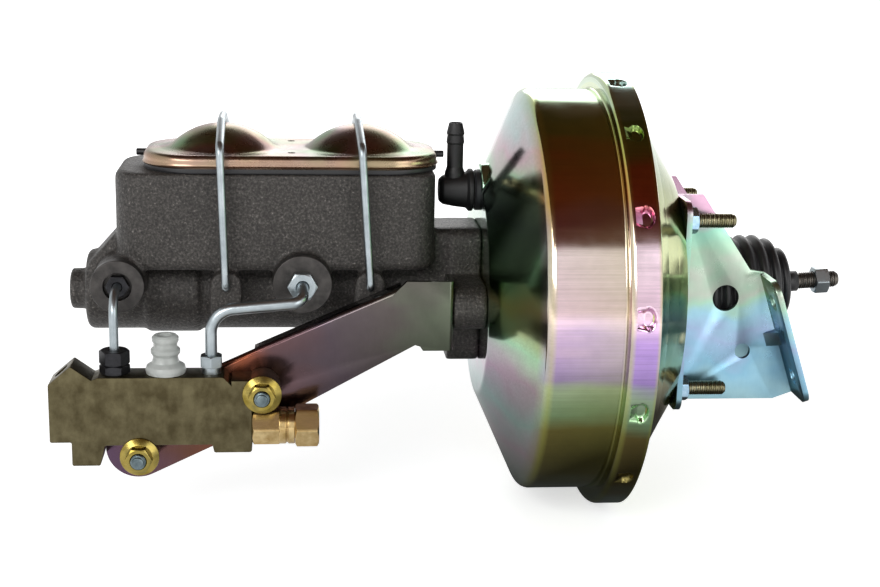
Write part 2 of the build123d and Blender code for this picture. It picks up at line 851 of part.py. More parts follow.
def make_reaction_disc():
    """Rubber disc that passes the brake force back to the pedal."""
    return turned(
        [
            (DISC_BACK_X - DISC_T, 0),
            (DISC_BACK_X - DISC_T, DISC_R - SEAT_GAP),
            (DISC_BACK_X - SEAT_GAP, DISC_R - SEAT_GAP),
            (DISC_BACK_X - SEAT_GAP, 0),
        ]
    )


def make_output_rod():
    """Output rod that pushes the master cylinder's primary piston."""
    head = DISC_BACK_X - DISC_T - SEAT_GAP
    tip = PRIMARY_X - 4.0
    return turned(
        [
            (tip, 0),
            (tip, OUTPUT_ROD_R - 1.4),
            (tip + 2.0, OUTPUT_ROD_R),
            (head - 5.0, OUTPUT_ROD_R),
            (head - 5.0, DISC_R - SEAT_GAP),
            (head, DISC_R - SEAT_GAP),
            (head, 0),
        ]
    )


def make_diaphragm_plate():
    """Dished plate that stiffens the diaphragm."""
    mid = PLATE_T / 2
    seat = HUB_FLANGE_X + SEAT_GAP + mid
    return pressed(
        [(seat, HUB_TUBE_R + 3.6), (seat, 30.0), (-12.0, 41.0), (-12.0, 74.0), (-24.0, PLATE_R - 3.0)],
        [4.0, 6.0, 8.0],
        PLATE_T,
    )


def make_diaphragm():
    """Rubber diaphragm behind the plate, rolled out to the bead under the crimp."""
    behind = PLATE_T / 2 + DIAPHRAGM_T / 2 + SEAT_GAP
    seat = HUB_FLANGE_X + SEAT_GAP + PLATE_T + SEAT_GAP + DIAPHRAGM_T / 2
    bead_x = RIM_STEP_X + SHELL_T + BEAD_T / 2
    return pressed(
        [
            (seat, HUB_TUBE_R + 2.2),
            (seat, 29.0),
            (-12.0 + behind, 40.0),
            (-12.0 + behind, 75.2),
            (-24.0 + behind, PLATE_R - 1.5),
            (-32.0, RIM_INNER_R - 16.2),
            (bead_x, RIM_INNER_R - 13.2),
            (bead_x, RIM_INNER_R - 4.4),
        ],
        [4.0, 6.0, 8.0, 5.0, 3.0, 1.5],
        DIAPHRAGM_T,
    )


def make_return_spring():
    """Spring that pushes the hub back from the nose."""
    start = FRONT_X + SHELL_T + 2.5 + SPRING_WIRE_R + 0.6
    end = HUB_FLANGE_X - HUB_FLANGE_T - SPRING_WIRE_R - 0.6
    plane = Plane(origin=(start, 0, 0), x_dir=(0, 1, 0), z_dir=(1, 0, 0))
    return coil(plane, SPRING_R, SPRING_WIRE_R, end - start, SPRING_TURNS)


def make_poppet_spring():
    """Light spring that presses the poppet towards its seat."""
    plane = Plane(origin=(12.6, 0, 0), x_dir=(0, 1, 0), z_dir=(1, 0, 0))
    return coil(plane, 11.6, 0.7, 9.4, 3)


def make_front_seal():
    """Seal ring round the master cylinder's spigot, inside the nose."""
    inner = PILOT_R + PRESS_CLEAR
    start = FRONT_X + SHELL_T + 2.5 + SEAT_GAP
    return turned([(start, inner), (start, inner + 4.0), (start + 2.6, inner + 3.2), (start + 2.6, inner)])


def make_check_valve():
    """Plastic elbow with the one-way valve that holds the vacuum."""
    with BuildPart() as valve:
        add(
            turned(
                [
                    (-96.0, 0),
                    (-96.0, 7.6),
                    (-98.6, CHECK_STEM_R + 1.0),
                    (-100.0, CHECK_STEM_R),
                    (-109.6, CHECK_STEM_R),
                    (-109.6, 12.0),
                    (-111.8, 12.0),
                    (-113.4, 10.2),
                    (-120.0, 9.4),
                    (-126.4, 8.2),
                    (-128.7, 6.2),
                    (-128.7, 0),
                ],
                axial_plane(0, CHECK_Z),
            )
        )
        add(
            turned(
                [
                    (0, 0),
                    (0, NIPPLE_R),
                    (26.0, NIPPLE_R),
                    (27.0, NIPPLE_BARB_R),
                    (31.0, NIPPLE_R),
                    (32.0, NIPPLE_BARB_R),
                    (36.0, NIPPLE_R - 0.4),
                    (NIPPLE_TOP_Z - CHECK_Z, NIPPLE_R - 0.9),
                    (NIPPLE_TOP_Z - CHECK_Z, 0),
                ],
                upright_plane(NIPPLE_X, 0, CHECK_Z),
            )
        )
        with BuildSketch(cross_plane(CHECK_BORE_END_X)):
            with Locations((0, CHECK_Z)):
                Circle(CHECK_BORE_R)
        extrude(amount=-CHECK_BORE_END_X, mode=Mode.SUBTRACT)
        with BuildSketch(Plane.XY.offset(CHECK_Z)):
            with Locations((NIPPLE_X, 0)):
                Circle(NIPPLE_BORE_R)
        extrude(amount=NIPPLE_TOP_Z - CHECK_Z, mode=Mode.SUBTRACT)
    return valve.part


def make_grommet():
    """Rubber grommet that seals the check valve in the nose."""
    inner = CHECK_STEM_R + PRESS_CLEAR
    return turned(
        [
            (FRONT_X - 2.9, inner),
            (FRONT_X - 2.9, 10.6),
            (FRONT_X - 2.0, 11.5),
            (FRONT_X - PRESS_CLEAR, 11.5),
            (FRONT_X - PRESS_CLEAR, CHECK_HOLE_R - PRESS_CLEAR),
            (FRONT_X + SHELL_T + PRESS_CLEAR, CHECK_HOLE_R - PRESS_CLEAR),
            (FRONT_X + SHELL_T + PRESS_CLEAR, 11.5),
            (FRONT_X + SHELL_T + 3.4, 9.8),
            (FRONT_X + SHELL_T + 3.4, inner),
        ],
        axial_plane(0, CHECK_Z),
    )


def tank_corners(tank):
    """Vertical corner edges of the reservoir block, far end first."""
    return tank.edges().filter_by(Axis.Z).group_by(Axis.X)


def make_tank():
    """Outside of the cast reservoir, before the cavities are cut."""
    with BuildPart() as tank:
        with BuildSketch(Plane.XY.offset(TANK_BOTTOM_Z)):
            with Locations(((TANK_X0 + TANK_X1) / 2, 0)):
                Rectangle(TANK_X1 - TANK_X0, 2 * TANK_HALF_Y)
        extrude(amount=TANK_TOP_Z - TANK_BOTTOM_Z)
        fillet(tank_corners(tank)[0], 20.0)
        fillet(tank_corners(tank)[-1], 12.0)
        fillet(tank.edges().group_by(Axis.Z)[0], 5.0)
        shoulder = tank.edges().group_by(Axis.Z)[-1].filter_by(lambda e: e.center().X < TANK_X0 + 8.0)
        fillet(shoulder, 6.0)
    return tank.part


def make_barrel():
    """Outside of the cylinder barrel with its end boss and thicker band."""
    return turned(
        [
            (BARREL_END_X - NOSE_LENGTH, 0),
            (BARREL_END_X - NOSE_LENGTH, NOSE_R - 1.2),
            (BARREL_END_X - NOSE_LENGTH + 1.2, NOSE_R),
            (BARREL_END_X - 1.0, NOSE_R),
            (BARREL_END_X, NOSE_R + 2.0),
            (BARREL_END_X, BARREL_R - 3.5),
            (BARREL_END_X + 3.5, BARREL_R),
            (BAND_X0, BARREL_R),
            (BAND_X0 + 0.6, BAND_R),
            (BAND_X1, BAND_R),
            (BAND_X1 + 1.2, BARREL_R),
            (FLANGE_X + 2.0, BARREL_R),
            (FLANGE_X + 2.0, 0),
        ]
    )


def make_master_body():
    """Cast body: barrel, reservoir, stud flange, port bosses and bail lugs, then all bores."""
    with BuildPart() as body:
        add(make_barrel())
        add(make_tank())
        with BuildSketch(cross_plane(FLANGE_X)):
            RectangleRounded(2 * FLANGE_HALF_Y, 2 * FLANGE_HALF_Z, 8.0)
            SlotCenterToCenter(STUD_SPACING, 2 * EAR_R)
            inner = vertices().filter_by(
                lambda p: abs(abs(p.X) - FLANGE_HALF_Y) < 0.01 and abs(abs(p.Y) - EAR_R) < 0.01
            )
            fillet(inner, 6.0)
        extrude(amount=FRONT_X - FLANGE_X)
        with BuildSketch(cross_plane(FRONT_X)):
            Circle(PILOT_R)
        extrude(amount=SPIGOT_LENGTH)
        with BuildSketch(cross_plane(TANK_X1 - 6.0)):
            with Locations((0, 8.0)):
                RectangleRounded(40.0, 60.0, 6.0)
        extrude(amount=FLANGE_X - TANK_X1 + 7.0)
        with BuildSketch(side_plane(WEB_HALF_Y)):
            with BuildLine():
                Polyline(
                    (BARREL_END_X + 2.0, 0),
                    (BARREL_END_X + 2.0, 18.0),
                    (TANK_X0, 36.0),
                    (TANK_X0 + 8.0, 36.0),
                    (TANK_X0 + 8.0, TANK_BOTTOM_Z + 2.0),
                    (TANK_X1 - 4.0, TANK_BOTTOM_Z + 2.0),
                    (TANK_X1 - 4.0, 0),
                    close=True,
                )
            make_face()
        extrude(amount=2 * WEB_HALF_Y)
        for (x, z), radius, face in (
            (LEFT_PORT, LEFT_PORT_R, LEFT_PORT_FACE_Y),
            (RIGHT_PORT, RIGHT_PORT_R, RIGHT_PORT_FACE_Y),
        ):
            with BuildSketch(side_plane(-WEB_HALF_Y + 2.0)):
                with Locations((x, z)):
                    Circle(radius)
            extrude(amount=-face - WEB_HALF_Y + 2.0)
        for x in (FRONT_LUG_X, REAR_LUG_X):
            for y in (LUG_FACE_Y, -LUG_FACE_Y + LUG_T):
                with BuildSketch(side_plane(y)):
                    with Locations((x, LUG_Z)):
                        Circle(LUG_R)
                    with Locations((x, LUG_Z + 8.0)):
                        Rectangle(2 * LUG_R, 16.0)
                extrude(amount=LUG_T)
        with BuildSketch(cross_plane(BORE_END_X)):
            Circle(BORE_R)
        extrude(amount=FRONT_X + SPIGOT_LENGTH - BORE_END_X, mode=Mode.SUBTRACT)
        with BuildSketch(cross_plane(SNAP_X)):
            Circle(BORE_R + SNAP_DEPTH + RUNNING_GAP)
        extrude(amount=SNAP_T + 2 * RUNNING_GAP, mode=Mode.SUBTRACT)
        with BuildSketch(Plane.XY.offset(TANK_BOTTOM_Z + TANK_FLOOR)):
            with Locations((FRONT_CAVITY_X, 0), (REAR_CAVITY_X, 0)):
                RectangleRounded(CAVITY_LENGTH, 2 * (TANK_HALF_Y - TANK_WALL), 12.0)
        extrude(amount=TANK_TOP_Z - TANK_BOTTOM_Z, mode=Mode.SUBTRACT)
        with BuildSketch(Plane.XY):
            with Locations((PRIMARY_X - 40.0, 0), (SECONDARY_X - 20.0, 0)):
                Circle(1.6)
            with Locations((PRIMARY_X - 57.0, 0), (SECONDARY_X - 38.0, 0)):
                Circle(0.8)
            with Locations((STOP_SCREW_X, 0)):
                Circle(STOP_SCREW_R + PRESS_CLEAR)
        extrude(amount=TANK_BOTTOM_Z + TANK_FLOOR + 1.0, mode=Mode.SUBTRACT)
        with BuildSketch(cross_plane(FLANGE_X)):
            with Locations(*FRONT_STUDS):
                Circle(FRONT_STUD_R + BOLT_CLEAR)
        extrude(amount=FRONT_X - FLANGE_X, mode=Mode.SUBTRACT)
        for x in (FRONT_LUG_X, REAR_LUG_X):
            for y in (LUG_FACE_Y, -LUG_FACE_Y + LUG_T):
                with BuildSketch(side_plane(y)):
                    with Locations((x, LUG_Z)):
                        Circle(BAIL_WIRE_R + LUG_HOLE_GAP)
                extrude(amount=LUG_T, mode=Mode.SUBTRACT)
        for (x, z), radius, face in (
            (LEFT_PORT, LEFT_PORT_THREAD_R, LEFT_PORT_FACE_Y),
            (RIGHT_PORT, RIGHT_PORT_THREAD_R, RIGHT_PORT_FACE_Y),
        ):
            with BuildSketch(side_plane(face)):
                with Locations((x, z)):
                    Circle(radius + PRESS_CLEAR)
            extrude(amount=-PORT_DEPTH, mode=Mode.SUBTRACT)
            with BuildSketch(side_plane(face)):
                with Locations((x, z)):
                    Circle(1.8)
            extrude(amount=face, mode=Mode.SUBTRACT)
        with BuildSketch(side_plane(LEFT_PORT_FACE_Y)):
            with Locations(LEFT_PORT):
                Circle(LEFT_RECESS_R)
        extrude(amount=-LEFT_RECESS_DEPTH, mode=Mode.SUBTRACT)
    return body.part


def cover_form(inset):
    """Outside form of the reservoir cover, or its inside form when inset by the sheet."""
    with BuildPart() as form:
        with BuildSketch(Plane.XY.offset(COVER_SKIRT_Z)):
            with Locations((COVER_X, 0)):
                RectangleRounded(
                    COVER_LENGTH - 2 * inset, 2 * (COVER_HALF_Y - inset), COVER_CORNER_R - inset
                )
        extrude(amount=COVER_FLAT_Z - inset - COVER_SKIRT_Z)
        fillet(form.edges().group_by(Axis.Z)[-1], COVER_EDGE_R - inset)
    return form.part


def make_cover():
    """Pressed reservoir cover with two domes, a shallow skirt and a turned-out lip."""
    with BuildPart() as dome:
        Sphere(DOME_SPHERE_R)
        split(bisect_by=Plane.XY.offset(COVER_FLAT_Z - DOME_CENTRE_Z - 0.5), keep=Keep.TOP)
    with BuildPart() as inner_dome:
        Sphere(DOME_SPHERE_R - COVER_T)
        split(bisect_by=Plane.XY.offset(COVER_FLAT_Z - DOME_CENTRE_Z - 2 * COVER_T), keep=Keep.TOP)
    spots = [(COVER_X - DOME_OFFSET, 0, DOME_CENTRE_Z), (COVER_X + DOME_OFFSET, 0, DOME_CENTRE_Z)]
    with BuildPart() as cover:
        add(cover_form(0.0))
        for spot in spots:
            add(dome.part.moved(Location(spot)))
        blend = cover.edges().filter_by(GeomType.CIRCLE).filter_by(
            lambda e: abs(e.center().Z - COVER_FLAT_Z) < 0.01 and e.radius > 20.0
        )
        fillet(blend, 3.0)
        with BuildSketch(Plane.XY.offset(COVER_SKIRT_Z)):
            with Locations((COVER_X, 0)):
                RectangleRounded(
                    COVER_LENGTH + 2 * COVER_LIP, 2 * (COVER_HALF_Y + COVER_LIP), COVER_CORNER_R + COVER_LIP
                )
        extrude(amount=COVER_T)
        add(cover_form(COVER_T), mode=Mode.SUBTRACT)
        for spot in spots:
            add(inner_dome.part.moved(Location(spot)), mode=Mode.SUBTRACT)
        with BuildSketch(Plane.XY.offset(COVER_FLAT_Z - 2 * COVER_T)):
            with Locations((COVER_X, VENT_Y), (COVER_X, -VENT_Y)):
                Circle(VENT_R)
        extrude(amount=3 * COVER_T, mode=Mode.SUBTRACT)
        with BuildSketch(cross_plane(COVER_X - COVER_LENGTH)):
            with Locations((0, TAB_Z)):
                Circle(TAB_R + SOFT_GAP)
        extrude(amount=2 * COVER_LENGTH, mode=Mode.SUBTRACT)
    return cover.part


def make_gasket():
    """Rubber cover seal with a bellows cup over each cavity and a pull tab at each end."""
    edge = COVER_T + 1.5
    with BuildPart() as gasket:
        with BuildSketch(Plane.XY.offset(TANK_TOP_Z)):
            with Locations((COVER_X, 0)):
                RectangleRounded(COVER_LENGTH, 2 * COVER_HALF_Y, COVER_CORNER_R)
        extrude(amount=GASKET_T)
        with BuildSketch(Plane.XY.offset(TANK_TOP_Z + GASKET_T)):
            with Locations((COVER_X, 0)):
                RectangleRounded(COVER_LENGTH - 2 * edge, 2 * (COVER_HALF_Y - edge), COVER_CORNER_R - edge)
        extrude(amount=TAB_Z + TAB_R - 0.4 - TANK_TOP_Z - GASKET_T)
        with BuildSketch(cross_plane(COVER_X - COVER_LENGTH / 2 - TAB_REACH)):
            with Locations((0, TAB_Z)):
                Circle(TAB_R)
        extrude(amount=COVER_LENGTH + 2 * TAB_REACH)
        with BuildSketch(Plane.XY.offset(CUP_BOTTOM_Z)):
            with Locations((FRONT_CAVITY_X, 0), (REAR_CAVITY_X, 0)):
                RectangleRounded(CAVITY_LENGTH - 8.0, 2 * (TANK_HALF_Y - TANK_WALL) - 8.0, 10.0)
        extrude(amount=TANK_TOP_Z - CUP_BOTTOM_Z)
        with BuildSketch(Plane.XY.offset(CUP_BOTTOM_Z + CUP_WALL)):
            with Locations((FRONT_CAVITY_X, 0), (REAR_CAVITY_X, 0)):
                RectangleRounded(
                    CAVITY_LENGTH - 8.0 - 2 * CUP_WALL,
                    2 * (TANK_HALF_Y - TANK_WALL) - 8.0 - 2 * CUP_WALL,
                    10.0 - CUP_WALL,
                )
        extrude(amount=TANK_TOP_Z, mode=Mode.SUBTRACT)
    return gasket.part


def make_bail(pivot_x, lean):
    """Spring wire bail: two hooked pins, two legs and a peaked crown over the cover."""
    plane = Plane(
        origin=(pivot_x, 0, LUG_Z),
        x_dir=(0, 1, 0),
        z_dir=(cos(radians(lean)), 0, sin(radians(lean))),
    )
    pin = BAIL_LEG_Y - BAIL_PIN_DEPTH
    with BuildPart() as bail:
        with BuildLine(plane) as wire:
            FilletPolyline(
                (-pin, 0),
                (-BAIL_LEG_Y, 0),
                (-BAIL_LEG_Y, BAIL_SHOULDER_R),
                (-BAIL_CROWN_HALF, BAIL_CROWN_R),
                (BAIL_CROWN_HALF, BAIL_CROWN_R),
                (BAIL_LEG_Y, BAIL_SHOULDER_R),
                (BAIL_LEG_Y, 0),
                (pin, 0),
                radius=[3.2, 6.0, 8.0, 8.0, 6.0, 3.2],
            )
        with BuildSketch(Plane(origin=wire.line @ 0, z_dir=wire.line % 0)):
            Circle(BAIL_WIRE_R)
        sweep()
    return bail.part


def piston_outline(rear, length, socket):
    """Outline of a master cylinder piston with a spool for each cup."""
    front = rear - length
    outline = [
        (front, 0),
        (front, SPOOL_R),
        (front + CUP_T + 1.0, SPOOL_R),
        (front + CUP_T + 1.0, PISTON_R),
        (front + CUP_T + 4.0, PISTON_R),
        (front + CUP_T + 4.0, PISTON_R - 4.0),
        (rear - CUP_T - 6.0, PISTON_R - 4.0),
        (rear - CUP_T - 6.0, PISTON_R),
        (rear - CUP_T - 3.0, PISTON_R),
        (rear - CUP_T - 3.0, SPOOL_R),
        (rear - 3.0, SPOOL_R),
        (rear - 3.0, PISTON_R),
        (rear, PISTON_R),
    ]
    if socket:
        outline += [(rear, OUTPUT_ROD_R + 0.8), (rear - 5.0, OUTPUT_ROD_R + 0.8), (rear - 5.0, 0)]
    else:
        outline += [(rear, 0)]
    return outline


def make_cups(rear, length):
    """The two rubber cups of one piston."""
    cups = []
    for start in (rear - length + 1.0, rear - CUP_T - 3.0):
        cups.append(
            turned(
                [
                    (start + SEAT_GAP, SPOOL_R + PRESS_CLEAR),
                    (start + SEAT_GAP, PISTON_R - 1.4),
                    (start + 0.8, PISTON_R),
                    (start + CUP_T - SEAT_GAP, PISTON_R),
                    (start + CUP_T - SEAT_GAP, SPOOL_R + PRESS_CLEAR),
                ]
            )
        )
    return together(cups)


def make_piston_spring(start, end):
    """Spring in front of a master cylinder piston."""
    plane = Plane(origin=(start, 0, 0), x_dir=(0, 1, 0), z_dir=(1, 0, 0))
    return coil(plane, SMALL_SPRING_R, SMALL_SPRING_WIRE_R, end - start, SMALL_SPRING_TURNS)


def make_snap_ring():
    """Open ring that keeps the primary piston in the bore."""
    with BuildPart() as ring:
        with BuildSketch(cross_plane(SNAP_X + RUNNING_GAP)):
            Circle(BORE_R + SNAP_DEPTH)
            Circle(BORE_R - 1.6, mode=Mode.SUBTRACT)
            with Locations((0, -BORE_R)):
                Rectangle(5.0, 8.0, mode=Mode.SUBTRACT)
        extrude(amount=SNAP_T)
    return ring.part


def make_stop_screw():
    """Screw in the front cavity's floor that stops the secondary piston."""
    floor = TANK_BOTTOM_Z + TANK_FLOOR
    return turned(
        [
            (STOP_SCREW_TIP_Z, 0),
            (STOP_SCREW_TIP_Z, STOP_SCREW_R),
            (floor + SEAT_GAP, STOP_SCREW_R),
            (floor + SEAT_GAP, STOP_SCREW_HEAD_R),
            (floor + 3.4, STOP_SCREW_HEAD_R),
            (floor + 3.4, 0),
        ],
        upright_plane(STOP_SCREW_X, 0),
    )


def make_line(points, bends, radius):
    """Hard brake line swept along its centre line."""
    with BuildPart() as line:
        with BuildLine() as centre:
            FilletPolyline(*points, radius=bends)
        with BuildSketch(Plane(origin=centre.line @ 0, z_dir=centre.line % 0)):
            Circle(radius)
            Circle(radius - LINE_WALL, mode=Mode.SUBTRACT)
        sweep()
    return line.part


def make_front_line():
    """Line from the front port straight down to the valve."""
    x, z = LEFT_PORT
    return make_line(
        [(x, LEFT_PORT_FACE_Y + 9.0, z), (x, VALVE_MID_Y, z), (x, VALVE_MID_Y, VALVE_TOP_Z - 4.0)],
        [FRONT_LINE_BEND_R],
        FRONT_LINE_R,
    )


def make_rear_line():
    """Line from the rear port, along the body, and down to the valve."""
    x, z = RIGHT_PORT
    return make_line(
        [
            (x, RIGHT_PORT_FACE_Y + 8.0, z),
            (x, RIGHT_PORT_FACE_Y - 6.2, z),
            (x, VALVE_MID_Y, REAR_LINE_KNEE_Z),
            (REAR_LINE_X, VALVE_MID_Y, REAR_LINE_RUN_Z),
            (REAR_LINE_X, VALVE_MID_Y, VALVE_TOP_Z - 5.0),
        ],
        [8.0, 7.5, REAR_LINE_BEND_R],
        REAR_LINE_R,
    )


def tube_nut(plane, flats, hex_t, thread_r, thread_t, line_r):
    """Flare nut: hexagon on a plane with its thread behind it."""
    with BuildPart() as nut:
        add(hex_nut(plane, flats, hex_t, line_r + RUNNING_GAP))
        with BuildSketch(plane):
            Circle(thread_r)
            Circle(line_r + RUNNING_GAP, mode=Mode.SUBTRACT)
        extrude(amount=-thread_t)
    return nut.part


def port_plane(x, y, z):
    """Plane that faces the near side at a port."""
    return Plane(origin=(x, y, z), x_dir=(1, 0, 0), z_dir=(0, -1, 0))


def down_port(x, z):
    """Plane that faces up on the valve at a top port."""
    return Plane(origin=(x, VALVE_MID_Y, z), x_dir=(1, 0, 0), z_dir=(0, 0, 1))


def make_front_line_nuts():
    """Flare nuts at both ends of the front line."""
    x, z = LEFT_PORT
    upper = tube_nut(
        port_plane(x, LEFT_PORT_FACE_Y + LEFT_RECESS_DEPTH - SEAT_GAP, z),
        TUBE_NUT_AF,
        5.2,
        LEFT_PORT_THREAD_R,
        4.5,
        FRONT_LINE_R,
    )
    lower = tube_nut(
        down_port(x, ADAPTER_TOP_Z + SEAT_GAP), ADAPTER_AF, 7.6, ADAPTER_BORE_R, 5.0, FRONT_LINE_R
    )
    return together([upper, lower])


def make_rear_line_nuts():
    """Flare nuts at both ends of the rear line."""
    x, z = RIGHT_PORT
    upper = tube_nut(
        port_plane(x, RIGHT_PORT_FACE_Y - SEAT_GAP, z),
        REAR_NUT_TUBE_AF,
        5.6,
        RIGHT_PORT_THREAD_R,
        7.0,
        REAR_LINE_R,
    )
    collar = Plane(
        origin=(REAR_LINE_X, VALVE_MID_Y, VALVE_TOP_Z + 3.4), x_dir=(0, 1, 0), z_dir=(0, 0, 1)
    )
    lower = tube_nut(collar, TUBE_NUT_AF, 6.4, REAR_VALVE_PORT_R, 8.6, REAR_LINE_R)
    return together([upper, lower])


def make_adapter():
    """Step-up adapter between the front line's nut and the valve's port."""
    height = ADAPTER_TOP_Z - VALVE_TOP_Z - SEAT_GAP
    with BuildPart() as adapter:
        add(hex_nut(down_port(LEFT_PORT[0], VALVE_TOP_Z + SEAT_GAP), ADAPTER_AF, height, 0.1))
        with BuildSketch(down_port(LEFT_PORT[0], ADAPTER_TOP_Z)):
            Circle(FRONT_VALVE_PORT_R)
        extrude(amount=-height - 9.0)
        with BuildSketch(down_port(LEFT_PORT[0], ADAPTER_TOP_Z)):
            Circle(ADAPTER_BORE_R + PRESS_CLEAR)
        extrude(amount=-9.2, mode=Mode.SUBTRACT)
        with BuildSketch(down_port(LEFT_PORT[0], ADAPTER_TOP_Z)):
            Circle(1.6)
        extrude(amount=-30.0, mode=Mode.SUBTRACT)
    return adapter.part


def valve_outline():
    """Front outline of the combination valve in (x, z)."""
    return [
        (VALVE_LEFT_X, VALVE_LEFT_BOTTOM_Z),
        (LEG_X0, VALVE_LEFT_BOTTOM_Z),
        (LEG_X0, LEG_Z),
        (LEG_X1, LEG_Z),
        (LEG_X1 + 2.6, VALVE_BOTTOM_Z),
        (OUTLET_X - 10.0, VALVE_BOTTOM_Z),
        (OUTLET_X - 9.0, VALVE_PORT_BOTTOM_Z),
        (VALVE_RIGHT_X, VALVE_PORT_BOTTOM_Z),
        (VALVE_RIGHT_X, -46.0),
        (VALVE_RIGHT_X - 14.8, VALVE_TOP_Z),
        (NOTCH[0] + 3.3, VALVE_TOP_Z),
        NOTCH,
        PEAK,
        (VALVE_LEFT_X, SHOULDER_Z),
    ]


def make_valve_block():
    """Brass body of the combination valve with its ears, ports and the two bores."""
    slope_x = (PEAK[0] + VALVE_LEFT_X) / 2
    slope_z = (PEAK[1] + SHOULDER_Z) / 2
    run = PEAK[0] - VALVE_LEFT_X
    rise = PEAK[1] - SHOULDER_Z
    with BuildPart() as block:
        with BuildSketch(side_plane(VALVE_BACK_Y)):
            with BuildLine():
                Polyline(*valve_outline(), close=True)
            make_face()
        extrude(amount=VALVE_DEPTH)
        with BuildSketch(side_plane(VALVE_BACK_Y)):
            with Locations(UPPER_BOLT, LOWER_BOLT):
                Circle(VALVE_EAR_R)
            with Locations((UPPER_BOLT[0] - 8.0, UPPER_BOLT[1])):
                Rectangle(16.0, 2 * VALVE_EAR_R - 4.0)
        extrude(amount=VALVE_DEPTH)
        with BuildSketch(side_plane(VALVE_BACK_Y)):
            with Locations(UPPER_BOLT, LOWER_BOLT):
                Circle(VALVE_BOLT_R + BOLT_CLEAR)
        extrude(amount=VALVE_DEPTH, mode=Mode.SUBTRACT)
        with BuildSketch(cross_plane(VALVE_BORE_END_X)):
            with Locations((VALVE_BORE_Y, VALVE_BORE_Z)):
                Circle(VALVE_BORE_R)
        extrude(amount=VALVE_RIGHT_X - VALVE_BORE_END_X, mode=Mode.SUBTRACT)
        with BuildSketch(cross_plane(METERING_X)):
            with Locations((VALVE_BORE_Y, VALVE_BORE_Z)):
                Circle(PASSAGE_R)
        extrude(amount=VALVE_BORE_END_X - METERING_X, mode=Mode.SUBTRACT)
        with BuildSketch(down_port(0, VALVE_TOP_Z)):
            with Locations((LEFT_PORT[0], 0)):
                Circle(FRONT_VALVE_PORT_R + PRESS_CLEAR)
        extrude(amount=-10.0, mode=Mode.SUBTRACT)
        with BuildSketch(down_port(0, VALVE_TOP_Z)):
            with Locations((SWITCH_X, 0)):
                Circle(SWITCH_THREAD_R + PRESS_CLEAR)
            with Locations((REAR_LINE_X, 0)):
                Circle(REAR_VALVE_PORT_R + PRESS_CLEAR)
        extrude(amount=-11.0, mode=Mode.SUBTRACT)
        with BuildSketch(down_port(0, VALVE_TOP_Z)):
            with Locations((LEFT_PORT[0], 0), (SWITCH_X, 0), (REAR_LINE_X, 0)):
                Circle(PASSAGE_R)
        extrude(amount=VALVE_BORE_Z - VALVE_TOP_Z, mode=Mode.SUBTRACT)
        with BuildSketch(down_port(0, VALVE_PORT_BOTTOM_Z)):
            with Locations((OUTLET_X, 0)):
                Circle(OUTLET_R)
        extrude(amount=OUTLET_DEPTH - 3.6, mode=Mode.SUBTRACT)
        with BuildSketch(down_port(0, VALVE_PORT_BOTTOM_Z)):
            with Locations((OUTLET_X, 0)):
                Circle(PASSAGE_R)
        extrude(amount=VALVE_BORE_Z - VALVE_PORT_BOTTOM_Z, mode=Mode.SUBTRACT)
        with BuildSketch(down_port(0, LEG_Z)):
            with Locations((METERING_X, 0)):
                Circle(METERING_R + RUNNING_GAP)
        extrude(amount=METERING_TOP_Z - LEG_Z, mode=Mode.SUBTRACT)
        slope = Plane(
            origin=(slope_x, VALVE_MID_Y, slope_z), x_dir=(run, 0, rise), z_dir=(-rise, 0, run)
        )
        with BuildSketch(slope):
            Circle(OUTLET_R)
        extrude(amount=-OUTLET_DEPTH, mode=Mode.SUBTRACT)
        port_floor = slope.origin - slope.z_dir * OUTLET_DEPTH
        drill_end = Vector(METERING_X, VALVE_MID_Y, METERING_TOP_Z - PASSAGE_R)
        drill = Plane(origin=drill_end, x_dir=(0, 1, 0), z_dir=port_floor - drill_end)
        with BuildSketch(drill):
            Circle(PASSAGE_R)
        extrude(amount=(port_floor - drill_end).length + PASSAGE_R, mode=Mode.SUBTRACT)
    return block.part


